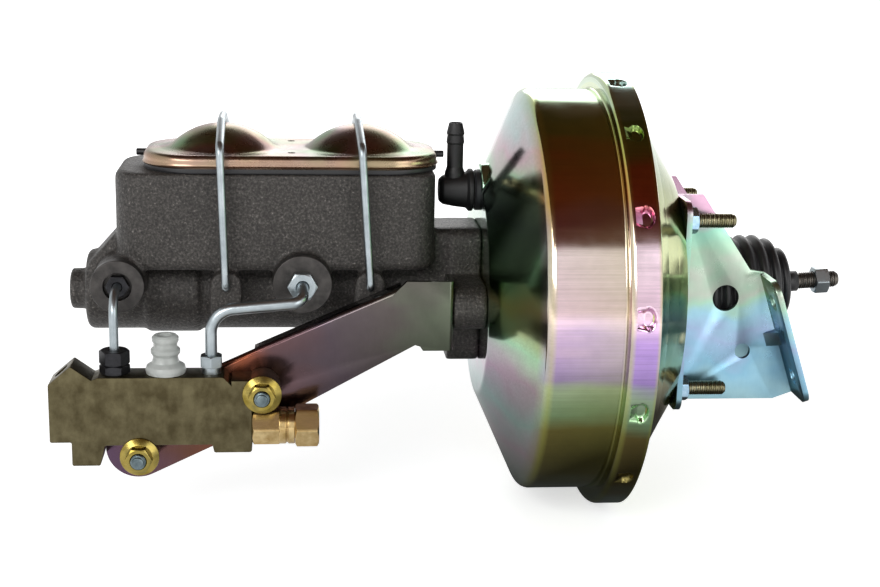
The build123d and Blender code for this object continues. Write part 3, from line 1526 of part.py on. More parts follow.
def make_valve_bracket():
    """Stamped arm: tab under the near stud nut, lipped arm and the lobe behind the valve."""
    lobe_x, lobe_z = LOBE_CENTRE
    length = sqrt((ARM_TOP[0] - ARM_TOP_LEFT[0]) ** 2 + (ARM_TOP[1] - ARM_TOP_LEFT[1]) ** 2)
    inward_x = (ARM_TOP[1] - ARM_TOP_LEFT[1]) / length * VALVE_BRACKET_T
    inward_z = -(ARM_TOP[0] - ARM_TOP_LEFT[0]) / length * VALVE_BRACKET_T
    inner_face = VALVE_BACK_Y + VALVE_BRACKET_T
    with BuildPart() as bracket:
        with BuildSketch(side_plane(inner_face)):
            with BuildLine():
                Polyline(
                    (FLANGE_X, ARM_RIGHT_TOP_Z),
                    (ARM_TOP[0] + 2.9, ARM_RIGHT_TOP_Z),
                    ARM_TOP,
                    ARM_TOP_LEFT,
                    (-249.0, -29.0),
                    (lobe_x - 12.0, lobe_z + 12.3),
                    (lobe_x + 8.1, lobe_z - 15.2),
                    (-204.6, -51.3),
                    (-144.9, -18.6),
                    (-142.2, -19.4),
                    (-140.6, ARM_RIGHT_BOTTOM_Z),
                    (FLANGE_X, ARM_RIGHT_BOTTOM_Z),
                    close=True,
                )
            make_face()
            with Locations(LOBE_CENTRE):
                Circle(LOBE_R)
        extrude(amount=VALVE_BRACKET_T)
        with BuildSketch(side_plane(VALVE_BACK_Y + ARM_LIP_DEPTH)):
            with BuildLine():
                Polyline(
                    ARM_TOP,
                    ARM_TOP_LEFT,
                    (ARM_TOP_LEFT[0] + inward_x, ARM_TOP_LEFT[1] + inward_z),
                    (ARM_TOP[0] + inward_x, ARM_TOP[1] + inward_z),
                    close=True,
                )
            make_face()
        extrude(amount=ARM_LIP_DEPTH - VALVE_BRACKET_T / 2)
        with BuildSketch(cross_plane(FLANGE_X - VALVE_BRACKET_T)):
            with Locations((VALVE_BACK_Y, (ARM_RIGHT_TOP_Z + ARM_RIGHT_BOTTOM_Z) / 2)):
                Rectangle(
                    VALVE_TAB_REACH,
                    ARM_RIGHT_TOP_Z - ARM_RIGHT_BOTTOM_Z,
                    align=(Align.MIN, Align.CENTER),
                )
            fillet(vertices().group_by(Axis.X)[-1], 8.0)
        extrude(amount=VALVE_BRACKET_T)
        bends = bracket.edges().filter_by(
            lambda e: abs(e.center().Y - VALVE_BACK_Y) < 0.01
            and (
                abs(e.center().X - FLANGE_X) < 0.01
                or (abs(e.center().Z - (ARM_TOP[1] + ARM_TOP_LEFT[1]) / 2) < 1.0 and e.length > length - 1)
            )
        )
        fillet(bends, VALVE_BRACKET_T - 0.4)
        with BuildSketch(side_plane(inner_face)):
            with Locations(UPPER_BOLT, LOWER_BOLT):
                Circle(VALVE_BOLT_R + BOLT_CLEAR)
        extrude(amount=VALVE_BRACKET_T, mode=Mode.SUBTRACT)
        with BuildSketch(cross_plane(FLANGE_X - VALVE_BRACKET_T)):
            with Locations(FRONT_STUDS[0]):
                Circle(FRONT_STUD_R + BOLT_CLEAR)
        extrude(amount=VALVE_BRACKET_T, mode=Mode.SUBTRACT)
    return bracket.part


def make_valve_bolts():
    """Two bolts that hold the combination valve to its bracket."""
    bolts = []
    for x, z in (UPPER_BOLT, LOWER_BOLT):
        head = port_plane(x, VALVE_BACK_Y + VALVE_BRACKET_T + 5.0, z)
        with BuildPart() as bolt:
            add(hex_nut(head, FLANGE_NUT_AF, 5.0, 0.1))
            with BuildSketch(head):
                Circle(VALVE_BOLT_R)
            extrude(amount=VALVE_BOLT_LENGTH)
            chamfer(bolt.edges().group_by(Axis.Y)[0], 0.7)
        bolts.append(bolt.part)
    return together(bolts)


def make_flange_nuts():
    """Flange nuts on the front ends of the valve bolts."""
    nuts = []
    for x, z in (UPPER_BOLT, LOWER_BOLT):
        seat = port_plane(x, VALVE_FRONT_Y, z)
        with BuildPart() as nut:
            add(hex_nut(seat, FLANGE_NUT_AF, FLANGE_NUT_T, VALVE_BOLT_R + PRESS_CLEAR))
            with BuildSketch(seat):
                Circle(FLANGE_NUT_R)
                Circle(VALVE_BOLT_R + PRESS_CLEAR, mode=Mode.SUBTRACT)
            extrude(amount=FLANGE_NUT_FLANGE_T)
            chamfer(nut.edges().filter_by(lambda e: e.center().Y > seat.origin.Y - 3 and
                    e.center().Y < seat.origin.Y - 1 and e.length > 50), 0.8)
        nuts.append(nut.part)
    return together(nuts)


def make_switch():
    """Plastic warning switch in the valve's top face."""
    return turned(
        [
            (-11.0, 1.2 + PRESS_CLEAR),
            (-11.0, SWITCH_THREAD_R),
            (SEAT_GAP, SWITCH_THREAD_R),
            (SEAT_GAP, SWITCH_BASE_R - 0.6),
            (2.2, SWITCH_BASE_R),
            (4.4, SWITCH_BASE_R - 0.6),
            (6.2, SWITCH_BODY_R + 0.6),
            (9.4, SWITCH_BODY_R - 0.2),
            (11.2, SWITCH_RING_R + 0.3),
            (13.0, SWITCH_RING_R + 0.3),
            (14.6, SWITCH_BODY_R - 0.4),
            (16.2, SWITCH_BODY_R - 0.4),
            (17.8, SWITCH_RING_R - 0.4),
            (19.6, SWITCH_RING_R - 0.4),
            (20.8, SWITCH_BODY_R - 0.8),
            (20.8, 3.4),
            (10.0, 3.4),
            (10.0, 1.2 + PRESS_CLEAR),
        ],
        upright_plane(SWITCH_X, VALVE_MID_Y, VALVE_TOP_Z),
    )


def make_switch_terminal():
    """Terminal pin inside the warning switch."""
    return turned(
        [(-10.0, 0), (-10.0, 1.2), (18.0, 1.2), (19.0, 0.6), (19.0, 0)],
        upright_plane(SWITCH_X, VALVE_MID_Y, VALVE_TOP_Z),
    )


def valve_axis():
    """Plane for outlines turned about the combination valve's long bore."""
    return axial_plane(VALVE_BORE_Y, VALVE_BORE_Z)


def valve_cross(x):
    """Plane across the combination valve's long bore."""
    return Plane(origin=(x, VALVE_BORE_Y, VALVE_BORE_Z), x_dir=(0, 1, 0), z_dir=(1, 0, 0))


def make_proportioning_plug():
    """Brass fitting that closes the long bore and guides the proportioning piston."""
    neck = VALVE_RIGHT_X + FITTING_HEX_T
    with BuildPart() as plug:
        add(hex_nut(valve_cross(VALVE_RIGHT_X + SEAT_GAP), FITTING_AF, FITTING_HEX_T - SEAT_GAP, 0.1))
        add(
            turned(
                [
                    (VALVE_RIGHT_X - 6.0, 0),
                    (VALVE_RIGHT_X - 6.0, VALVE_BORE_R - PRESS_CLEAR),
                    (neck, VALVE_BORE_R - PRESS_CLEAR),
                    (neck, FITTING_NECK_R),
                    (neck + FITTING_NECK_T, FITTING_NECK_R),
                    (neck + FITTING_NECK_T, CAP_BORE_R - PRESS_CLEAR),
                    (neck + FITTING_NECK_T + 7.0, CAP_BORE_R - PRESS_CLEAR),
                    (neck + FITTING_NECK_T + 7.0, 0),
                ],
                valve_axis(),
            )
        )
        add(
            turned(
                [
                    (VALVE_RIGHT_X - 7.0, 0),
                    (VALVE_RIGHT_X - 7.0, 5.0),
                    (VALVE_RIGHT_X + 5.0, 5.0),
                    (VALVE_RIGHT_X + 5.0, 3.0 + RUNNING_GAP),
                    (neck, 3.0 + RUNNING_GAP),
                    (neck, 0),
                ],
                valve_axis(),
            ),
            mode=Mode.SUBTRACT,
        )
    return plug.part


def make_proportioning_cap():
    """Hexagon cap on the end of the fitting."""
    start = VALVE_RIGHT_X + FITTING_HEX_T + FITTING_NECK_T + SEAT_GAP
    with BuildPart() as cap:
        add(hex_nut(valve_cross(start), CAP_AF, CAP_T, 0.1))
        with BuildSketch(valve_cross(start + 8.0)):
            Circle(3.0)
        extrude(amount=CAP_T - 8.0)
        with BuildSketch(valve_cross(start)):
            Circle(CAP_BORE_R)
        extrude(amount=8.0, mode=Mode.SUBTRACT)
    return cap.part


def make_proportioning_piston():
    """Piston that holds back pressure to the rear brakes."""
    return turned(
        [
            (-262.0, 0),
            (-262.0, VALVE_BORE_R - RUNNING_GAP),
            (-252.0, VALVE_BORE_R - RUNNING_GAP),
            (-252.0, 3.0),
            (VALVE_RIGHT_X + 8.0, 3.0),
            (VALVE_RIGHT_X + 8.0, 0),
        ],
        valve_axis(),
    )


def make_proportioning_spring():
    """Spring round the proportioning piston's stem."""
    start = -250.9
    return coil(
        Plane(origin=(start, VALVE_BORE_Y, VALVE_BORE_Z), x_dir=(0, 1, 0), z_dir=(1, 0, 0)),
        4.1,
        0.6,
        VALVE_RIGHT_X + 3.8 - start,
        5,
    )


def make_warning_piston():
    """Shuttle piston that trips the warning switch when one circuit fails."""
    land = VALVE_BORE_R - RUNNING_GAP
    return turned(
        [
            (SWITCH_X - 18.8, 0),
            (SWITCH_X - 18.8, land),
            (SWITCH_X - 4.8, land),
            (SWITCH_X - 4.8, 4.2),
            (SWITCH_X + 4.8, 4.2),
            (SWITCH_X + 4.8, land),
            (SWITCH_X + 11.2, land),
            (SWITCH_X + 11.2, 0),
        ],
        valve_axis(),
    )


def make_metering_stem():
    """Stem that delays pressure to the front brakes."""
    return turned(
        [
            (METERING_TOP_Z - 12.0, 0),
            (METERING_TOP_Z - 12.0, 1.5),
            (METERING_TOP_Z - 9.0, 1.5),
            (METERING_TOP_Z - 9.0, METERING_R),
            (METERING_TOP_Z - 2.5, METERING_R),
            (METERING_TOP_Z - 2.5, 0),
        ],
        upright_plane(METERING_X, VALVE_MID_Y),
    )


def make_metering_spring():
    """Spring under the metering stem."""
    start = LEG_Z + 8.6
    return coil(
        Plane(origin=(METERING_X, VALVE_MID_Y, start), x_dir=(1, 0, 0), z_dir=(0, 0, 1)),
        2.9,
        0.6,
        METERING_TOP_Z - 9.9 - start,
        4,
    )


def make_metering_plug():
    """Plug that closes the metering bore in the valve's leg."""
    return turned(
        [
            (LEG_Z + 0.4, 0),
            (LEG_Z + 0.4, METERING_R + RUNNING_GAP - PRESS_CLEAR),
            (LEG_Z + 7.4, METERING_R + RUNNING_GAP - PRESS_CLEAR),
            (LEG_Z + 7.4, 0),
        ],
        upright_plane(METERING_X, VALVE_MID_Y),
    )


if __name__ == "__main__":
    write("front_shell", make_front_shell())
    write("rear_shell", make_rear_shell())
    write("reinforcement_plate", make_reinforcement())
    write("front_studs", make_front_studs())
    write("master_nuts", make_master_nuts())
    write("rear_studs", make_rear_studs())
    write("rear_nuts", make_rear_nuts())
    near_bracket = make_near_bracket()
    write("near_firewall_bracket", near_bracket)
    write("far_firewall_bracket", mirror(near_bracket, about=Plane.XZ))
    write("input_rod", make_input_rod())
    write("rod_jam_nut", make_jam_nut())
    write("boot", make_boot())
    write("valve_body", make_valve_body())
    write("air_valve_plunger", make_plunger())
    write("plunger_key", make_plunger_key())
    write("poppet_valve", make_poppet_valve())
    write("poppet_spring", make_poppet_spring())
    write("poppet_retainer", make_poppet_retainer())
    write("air_filter", make_air_filter())
    write("hub_seal", make_hub_seal())
    write("reaction_disc", make_reaction_disc())
    write("output_rod", make_output_rod())
    write("diaphragm_plate", make_diaphragm_plate())
    write("diaphragm", make_diaphragm())
    write("return_spring", make_return_spring())
    write("front_seal", make_front_seal())
    write("check_valve", make_check_valve())
    write("check_valve_grommet", make_grommet())
    write("master_body", make_master_body())
    write("reservoir_cover", make_cover())
    write("cover_gasket", make_gasket())
    write("front_bail", make_bail(FRONT_LUG_X, FRONT_BAIL_LEAN))
    write("rear_bail", make_bail(REAR_LUG_X, REAR_BAIL_LEAN))
    write("primary_piston", turned(piston_outline(PRIMARY_X, PRIMARY_LENGTH, True)))
    write("primary_cups", make_cups(PRIMARY_X, PRIMARY_LENGTH))
    write("primary_spring", make_piston_spring(SECONDARY_X + 1.7, PRIMARY_X - PRIMARY_LENGTH - 1.7))
    write("secondary_piston", turned(piston_outline(SECONDARY_X, SECONDARY_LENGTH, False)))
    write("secondary_cups", make_cups(SECONDARY_X, SECONDARY_LENGTH))
    write("secondary_spring", make_piston_spring(BORE_END_X + 1.7, SECONDARY_X - SECONDARY_LENGTH - 1.7))
    write("snap_ring", make_snap_ring())
    write("piston_stop_screw", make_stop_screw())
    write("front_brake_line", make_front_line())
    write("rear_brake_line", make_rear_line())
    write("front_line_nuts", make_front_line_nuts())
    write("rear_line_nuts", make_rear_line_nuts())
    write("front_line_adapter", make_adapter())
    write("valve_block", make_valve_block())
    write("valve_bracket", make_valve_bracket())
    write("valve_bolts", make_valve_bolts())
    write("valve_flange_nuts", make_flange_nuts())
    write("pressure_switch", make_switch())
    write("switch_terminal", make_switch_terminal())
    write("proportioning_plug", make_proportioning_plug())
    write("proportioning_cap", make_proportioning_cap())
    write("proportioning_piston", make_proportioning_piston())
    write("proportioning_spring", make_proportioning_spring())
    write("warning_piston", make_warning_piston())
    write("metering_stem", make_metering_stem())
    write("metering_spring", make_metering_spring())
    write("metering_plug", make_metering_plug())
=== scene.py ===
"""Dressed scene of a vacuum brake booster with its tandem master cylinder and brass valve.

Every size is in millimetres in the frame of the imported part: the origin is on the booster's
axis in the plane of its rear mounting face, +X points to the firewall, +Z points up and +Y
points away from the camera. Meshes are written in metres.
"""

import json
import logging
from dataclasses import dataclass
from enum import Enum
from math import ceil, cos, hypot, pi, radians, sin, sqrt, tan
from typing import Any, Callable, Sequence

import bmesh
import bpy
from mathutils import Matrix, Vector

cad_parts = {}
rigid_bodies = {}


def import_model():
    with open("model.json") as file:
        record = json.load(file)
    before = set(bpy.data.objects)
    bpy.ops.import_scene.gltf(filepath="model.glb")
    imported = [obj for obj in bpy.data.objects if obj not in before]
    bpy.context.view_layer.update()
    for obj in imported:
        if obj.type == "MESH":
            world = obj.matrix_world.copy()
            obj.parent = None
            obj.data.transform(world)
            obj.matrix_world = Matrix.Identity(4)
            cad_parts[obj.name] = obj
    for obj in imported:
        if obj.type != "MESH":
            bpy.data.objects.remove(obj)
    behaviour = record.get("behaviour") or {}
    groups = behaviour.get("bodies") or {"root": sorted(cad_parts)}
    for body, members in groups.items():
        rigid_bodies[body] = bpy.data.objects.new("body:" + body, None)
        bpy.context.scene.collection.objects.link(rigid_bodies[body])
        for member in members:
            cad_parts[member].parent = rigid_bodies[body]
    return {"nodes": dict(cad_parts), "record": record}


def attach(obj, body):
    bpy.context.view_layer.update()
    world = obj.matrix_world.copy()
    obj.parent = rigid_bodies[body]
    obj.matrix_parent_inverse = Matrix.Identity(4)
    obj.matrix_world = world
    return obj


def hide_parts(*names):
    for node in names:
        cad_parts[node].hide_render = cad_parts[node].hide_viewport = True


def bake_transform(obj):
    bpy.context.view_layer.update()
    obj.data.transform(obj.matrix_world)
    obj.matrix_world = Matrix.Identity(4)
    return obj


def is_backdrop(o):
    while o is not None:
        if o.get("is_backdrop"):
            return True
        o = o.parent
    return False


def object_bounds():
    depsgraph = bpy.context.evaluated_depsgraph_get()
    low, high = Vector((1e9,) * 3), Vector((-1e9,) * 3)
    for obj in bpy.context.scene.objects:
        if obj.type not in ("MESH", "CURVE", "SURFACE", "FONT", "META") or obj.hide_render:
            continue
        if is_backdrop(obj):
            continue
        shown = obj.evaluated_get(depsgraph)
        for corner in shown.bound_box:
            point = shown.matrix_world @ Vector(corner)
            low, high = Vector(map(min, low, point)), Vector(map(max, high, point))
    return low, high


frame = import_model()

LOG = logging.getLogger("booster")
MM = 0.001
NUT_SHARP = 25.0
THREAD_PITCH = 1.25
THREAD_GAP = 0.02
Triple = tuple[float, float, float]
Pair = tuple[float, float]
Stops = tuple[tuple[float, str], ...]
Corners = Sequence[Sequence[float]]


# ---------------------------------------------------------------- names


class Body(Enum):
    """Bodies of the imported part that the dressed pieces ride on."""

    HOUSING = "housing"
    HUB = "hub"
    ROD = "rod"
    FRONT_BAIL = "front_bail_body"
    REAR_BAIL = "rear_bail_body"
    ELBOW = "elbow"


class Slot(Enum):
    """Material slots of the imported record."""

    SHELL = "dichromate_shell"
    BRACKET = "dichromate_bracket"
    FASTENER = "dichromate_fastener"
    COVER = "gold_cover"
    ZINC = "zinc_steel"
    BLACK_STEEL = "black_steel"
    SPRING = "spring_steel"
    CASTING = "black_casting"
    RUBBER = "black_rubber"
    PLASTIC = "black_plastic"
    NATURAL = "natural_plastic"
    BRASS = "brass"
    ALLOY = "machined_alloy"
    FELT = "felt"


class Way(Enum):
    """Ways that a work plane stands, each as the directions of its own x and z.

    A lathe turns about the plane's x. Plates and nuts grow along its z.
    """

    ALONG = ((1, 0, 0), (0, -1, 0))
    NEAR_AXIS = ((0, -1, 0), (1, 0, 0))
    UP_AXIS = ((0, 0, 1), (0, -1, 0))
    UP = ((1, 0, 0), (0, 0, 1))
    UP_TURNED = ((0, 1, 0), (0, 0, 1))
    REAR = ((0, 1, 0), (1, 0, 0))
    REAR_TURNED = ((0, 0, 1), (1, 0, 0))
    NOSE = ((0, 0, 1), (-1, 0, 0))


# ---------------------------------------------------------------- shader helpers


def linear(hex_colour: str) -> tuple[float, float, float, float]:
    """Turn an sRGB hex colour into the linear colour that a shader socket takes.

    Args:
        hex_colour: Colour as six hex digits after a hash.

    Returns:
        Linear red, green, blue and an alpha of one.
    """
    parts = [int(hex_colour[i : i + 2], 16) / 255 for i in (1, 3, 5)]
    lin = [p / 12.92 if p <= 0.04045 else ((p + 0.055) / 1.055) ** 2.4 for p in parts]
    return (lin[0], lin[1], lin[2], 1.0)


def add_node(tree: Any, kind: str, inputs: dict[Any, Any] | None = None, **settings: Any) -> Any:
    """Add one node to a tree, set it up and feed its inputs.

    Args:
        tree: Node tree that gets the node.
        kind: Blender's type name of the node.
        inputs: Values or output sockets by input name or number.
        settings: Properties set on the node itself.

    Returns:
        The new node.
    """
    node = tree.nodes.new(kind)
    for name, value in settings.items():
        setattr(node, name, value)
    for key, value in (inputs or {}).items():
        if isinstance(value, bpy.types.NodeSocket):
            tree.links.new(value, node.inputs[key])
        else:
            node.inputs[key].default_value = value
    return node


def calc(tree: Any, operation: str, *values: Any) -> Any:
    """Add a math node and give its result."""
    return add_node(tree, "ShaderNodeMath", dict(enumerate(values)), operation=operation).outputs[0]


def ramp(tree: Any, factor: Any, stops: Stops) -> Any:
    """Add a colour ramp.

    Args:
        tree: Node tree that gets the ramp.
        factor: Socket that drives it.
        stops: Position and sRGB hex colour of each stop.

    Returns:
        The ramp's colour socket.
    """
    node = add_node(tree, "ShaderNodeValToRGB", {0: factor})
    elements = node.color_ramp.elements
    while len(elements) < len(stops):
        elements.new(0.5)
    for element, (position, colour) in zip(elements, stops):
        element.position = position
        element.color = linear(colour)
    return node.outputs["Color"]


def grain(tree: Any, size_mm: Triple, detail: float = 2.0, rough: float = 0.5) -> Any:
    """Add noise whose lumps have a real size along each axis.

    Args:
        tree: Node tree that gets the noise.
        size_mm: Size of a lump along X, Y and Z.
        detail: Octaves of finer noise.
        rough: Strength of the finer octaves.

    Returns:
        The noise's factor socket.
    """
    place = add_node(tree, "ShaderNodeTexCoord").outputs["Object"]
    sizes = {"Vector": place, "Scale": tuple(1000.0 / s for s in size_mm)}
    scaled = add_node(tree, "ShaderNodeMapping", sizes).outputs[0]
    noise = {"Vector": scaled, "Scale": 1.0, "Detail": detail, "Roughness": rough}
    return add_node(tree, "ShaderNodeTexNoise", noise).outputs["Fac"]


def spread(tree: Any, value: Any, low: Any, high: Any, to_low: float, to_high: float) -> Any:
    """Remap a value from one range to another, clamped."""
    ends = {"Value": value, "From Min": low, "From Max": high, "To Min": to_low, "To Max": to_high}
    return add_node(tree, "ShaderNodeMapRange", ends).outputs["Result"]


def place_along(tree: Any, axis: int) -> Any:
    """Place along an axis of the part, in metres."""
    place = add_node(tree, "ShaderNodeTexCoord")
    return add_node(tree, "ShaderNodeSeparateXYZ", {0: place.outputs["Object"]}).outputs[axis]


def blend_colour(tree: Any, factor: Any, first: Any, second: Any, mode: str = "MIX") -> Any:
    """Mix two colours, by a socket or a number for the share of the second one."""
    ends = {0: factor, 6: first, 7: second}
    return add_node(tree, "ShaderNodeMix", ends, data_type="RGBA", blend_type=mode).outputs[2]


def blank_material(name: str) -> tuple[Any, Any]:
    """Make a material with an empty node tree.

    Args:
        name: Name of the material.

    Returns:
        The material and its tree.
    """
    material = bpy.data.materials.new(name)
    material.use_nodes = True
    material.node_tree.nodes.clear()
    return material, material.node_tree


# ---------------------------------------------------------------- finishes


@dataclass(frozen=True)
class Finish:
    """Common part of every finish: one principled shader with colour, gloss and relief."""

    name: str
    metallic: float = 0.0
    roughness: float = 0.5
    gloss_shift: Pair = (1.0, 1.0)
    depth_mm: float = 0.01
    strength: float = 0.3

    def paint(self, tree: Any, shader: Any) -> tuple[Any, Any, Any]:
        """Sockets of the colour, of the gloss pattern and of the relief."""
        raise NotImplementedError

    def material(self) -> Any:
        """Build the material.

        Returns:
            The finished Blender material.
        """
        material, tree = blank_material(self.name)
        base = {"Metallic": self.metallic, "Roughness": self.roughness}
        shader = add_node(tree, "ShaderNodeBsdfPrincipled", base)
        add_node(tree, "ShaderNodeOutputMaterial", {"Surface": shader.outputs["BSDF"]})
        colour, gloss, relief = self.paint(tree, shader)
        dull, bright = (self.roughness * shift for shift in self.gloss_shift)
        height = {"Height": relief, "Distance": self.depth_mm * MM, "Strength": self.strength}
        normal = add_node(tree, "ShaderNodeBump", height).outputs["Normal"]
        tree.links.new(colour, shader.inputs["Base Color"])
        tree.links.new(spread(tree, gloss, 0.3, 0.7, dull, bright), shader.inputs["Roughness"])
        tree.links.new(normal, shader.inputs["Normal"])
        return material


@dataclass(frozen=True)
class Dichromate(Finish):
    """Zinc with a dichromate film, whose colour runs from gold to pink and green.

    The colours lie in bands along one axis that wander a little, or in plain patches where no
    span is given. The default bands, which the shell's drum takes, are film colours and also
    painted reflection: pale where the highlight falls, dark where the ceiling and the floor under
    the part reflect. A mesh may carry a "film" attribute, which turns the colour to gold where a
    bend thickens the film.
    """

    metallic: float = 1.0
    roughness: float = 0.13
    gloss_shift: Pair = (0.8, 1.3)
    depth_mm: float = 0.016
    strength: float = 0.25
    patch_mm: Triple = (70.0, 45.0, 22.0)
    axis: int = 2
    span_mm: Pair | None = (-114.0, 114.0)
    drift_mm: float = 9.0
    # Painted reflection mixed into the film colours. The pale stops from 0.53 to 0.72 lie at mid
    # height, where the drum's highlight falls. The dark stops near 0.10 to 0.25 lie where the floor
    # under the part reflects, and those near 0.80 to 0.95 lie where the dark ceiling reflects. The
    # ends are pale where the top and the bottom catch bright reflections.
    stops: Stops = (
        (0.03, "#A9C4B4"), (0.10, "#8F8450"), (0.25, "#94844E"), (0.31, "#A2C89A"),
        (0.38, "#B6CEAE"), (0.42, "#A58AC8"), (0.49, "#B494CE"), (0.56, "#EBC9DC"),
        (0.70, "#F3DDE6"), (0.755, "#B8789A"), (0.80, "#C4684E"), (0.86, "#B86A40"),
        (0.91, "#7E8A44"), (0.95, "#6F8A50"), (0.985, "#A6C6BC"),
    )
    nose_stops: Stops = ()
    nose_edge_mm: Pair = (-86.0, -80.5)
    gold: str = "#B9BC62"
    film_share: float = 0.55
    draw_mm: Triple = (60.0, 0.9, 0.9)
    draw_shade: float = 0.82
    haze_mm: float = 9.0
    haze_shade: float = 0.92
    scuff_mm: float = 14.0

    def bands(self, tree: Any) -> Any:
        """Place on the scale of colours, by height or in patches.

        Args:
            tree: Tree of the material.

        Returns:
            Socket that runs from zero to one.
        """
        if self.span_mm is None:
            return grain(tree, self.patch_mm, 1.5, 0.45)
        drift = self.drift_mm * MM
        stray = spread(tree, grain(tree, self.patch_mm), 0.25, 0.75, -drift, drift)
        place = calc(tree, "ADD", place_along(tree, self.axis), stray)
        return spread(tree, place, self.span_mm[0] * MM, self.span_mm[1] * MM, 0.0, 1.0)

    def paint(self, tree: Any, shader: Any) -> tuple[Any, Any, Any]:
        """Film colours (with painted reflection in the shell's bands), scuffed gloss and drawing
        marks.

        Args:
            tree: Tree of the material.
            shader: Its principled node; not used.

        Returns:
            Sockets of the colour, of the gloss pattern and of the relief.
        """
        bands = self.bands(tree)
        colour = ramp(tree, bands, self.stops)
        if self.nose_stops:
            low, high = self.nose_edge_mm
            nose = spread(tree, place_along(tree, 0), low * MM, high * MM, 1.0, 0.0)
            colour = blend_colour(tree, nose, colour, ramp(tree, bands, self.nose_stops))
        drawn = grain(tree, self.draw_mm, 3.0, 0.6)
        shade = spread(tree, drawn, 0.3, 0.7, self.draw_shade, 1.0)
        colour = blend_colour(tree, 1.0, colour, shade, "MULTIPLY")
        film = add_node(tree, "ShaderNodeAttribute", attribute_name="film").outputs["Fac"]
        share = spread(tree, film, 0.0, 1.0, 0.0, self.film_share)
        colour = blend_colour(tree, share, colour, linear(self.gold))
        hazy = grain(tree, (self.haze_mm,) * 3, 3.0, 0.6)
        haze = spread(tree, hazy, 0.3, 0.7, self.haze_shade, 1.0)
        colour = blend_colour(tree, 1.0, colour, haze, "MULTIPLY")
        return colour, grain(tree, (self.scuff_mm,) * 3, 4.0, 0.6), drawn


@dataclass(frozen=True)
class Casting(Finish):
    """Sand-cast iron with a thin dark coat: matt, rough to the eye, with bright grains."""

    metallic: float = 0.35
    gloss_shift: Pair = (1.15, 0.8)
    depth_mm: float = 0.6
    strength: float = 0.9
    sand_mm: float = 1.3
    drift_mm: float = 28.0
    stops: Stops = ((0.30, "#1D1B1A"), (0.50, "#35322F"), (0.64, "#4F4B48"), (0.78, "#9C9690"))

    def paint(self, tree: Any, shader: Any) -> tuple[Any, Any, Any]:
        """Dark sand with a slow change of tone."""
        sand = grain(tree, (self.sand_mm,) * 3, 4.0, 0.65)
        tone = spread(tree, grain(tree, (self.drift_mm,) * 3), 0.3, 0.7, 0.85, 1.0)
        return blend_colour(tree, 1.0, ramp(tree, sand, self.stops), tone, "MULTIPLY"), sand, sand


@dataclass(frozen=True)
class Metal(Finish):
    """Plain worked metal: two close tones, fine working marks and a slight change of gloss."""

    metallic: float = 1.0
    roughness: float = 0.25
    gloss_shift: Pair = (1.2, 0.85)
    depth_mm: float = 0.012
    dark: str = "#B4B9BE"
    light: str = "#D3D7DB"
    tone_mm: Triple = (6.0, 6.0, 6.0)
    mark_mm: Triple = (0.5, 0.5, 0.5)

    def paint(self, tree: Any, shader: Any) -> tuple[Any, Any, Any]:
        """Two tones with working marks."""
        tone = grain(tree, self.tone_mm, 4.0, 0.6)
        colour = ramp(tree, tone, ((0.32, self.dark), (0.66, self.light)))
        return colour, tone, grain(tree, self.mark_mm)


@dataclass(frozen=True)
class Moulded(Finish):
    """Moulded rubber, plastic or felt: even colour with a fine skin and faint dust."""

    gloss_shift: Pair = (0.85, 1.15)
    depth_mm: float = 0.03
    strength: float = 0.4
    dark: str = "#09090C"
    light: str = "#131318"
    dust_mm: float = 11.0
    skin_mm: float = 1.2
    sheen: float = 0.0
    transmission: float = 0.0
    ior: float = 1.5

    def paint(self, tree: Any, shader: Any) -> tuple[Any, Any, Any]:
        """Dusty colour over a fine skin."""
        shader.inputs["IOR"].default_value = self.ior
        shader.inputs["Sheen Weight"].default_value = self.sheen
        shader.inputs["Transmission Weight"].default_value = self.transmission
        dust = grain(tree, (self.dust_mm,) * 3, 5.0, 0.65)
        colour = ramp(tree, dust, ((0.35, self.dark), (0.70, self.light)))
        return colour, dust, grain(tree, (self.skin_mm,) * 3, 3.0, 0.6)


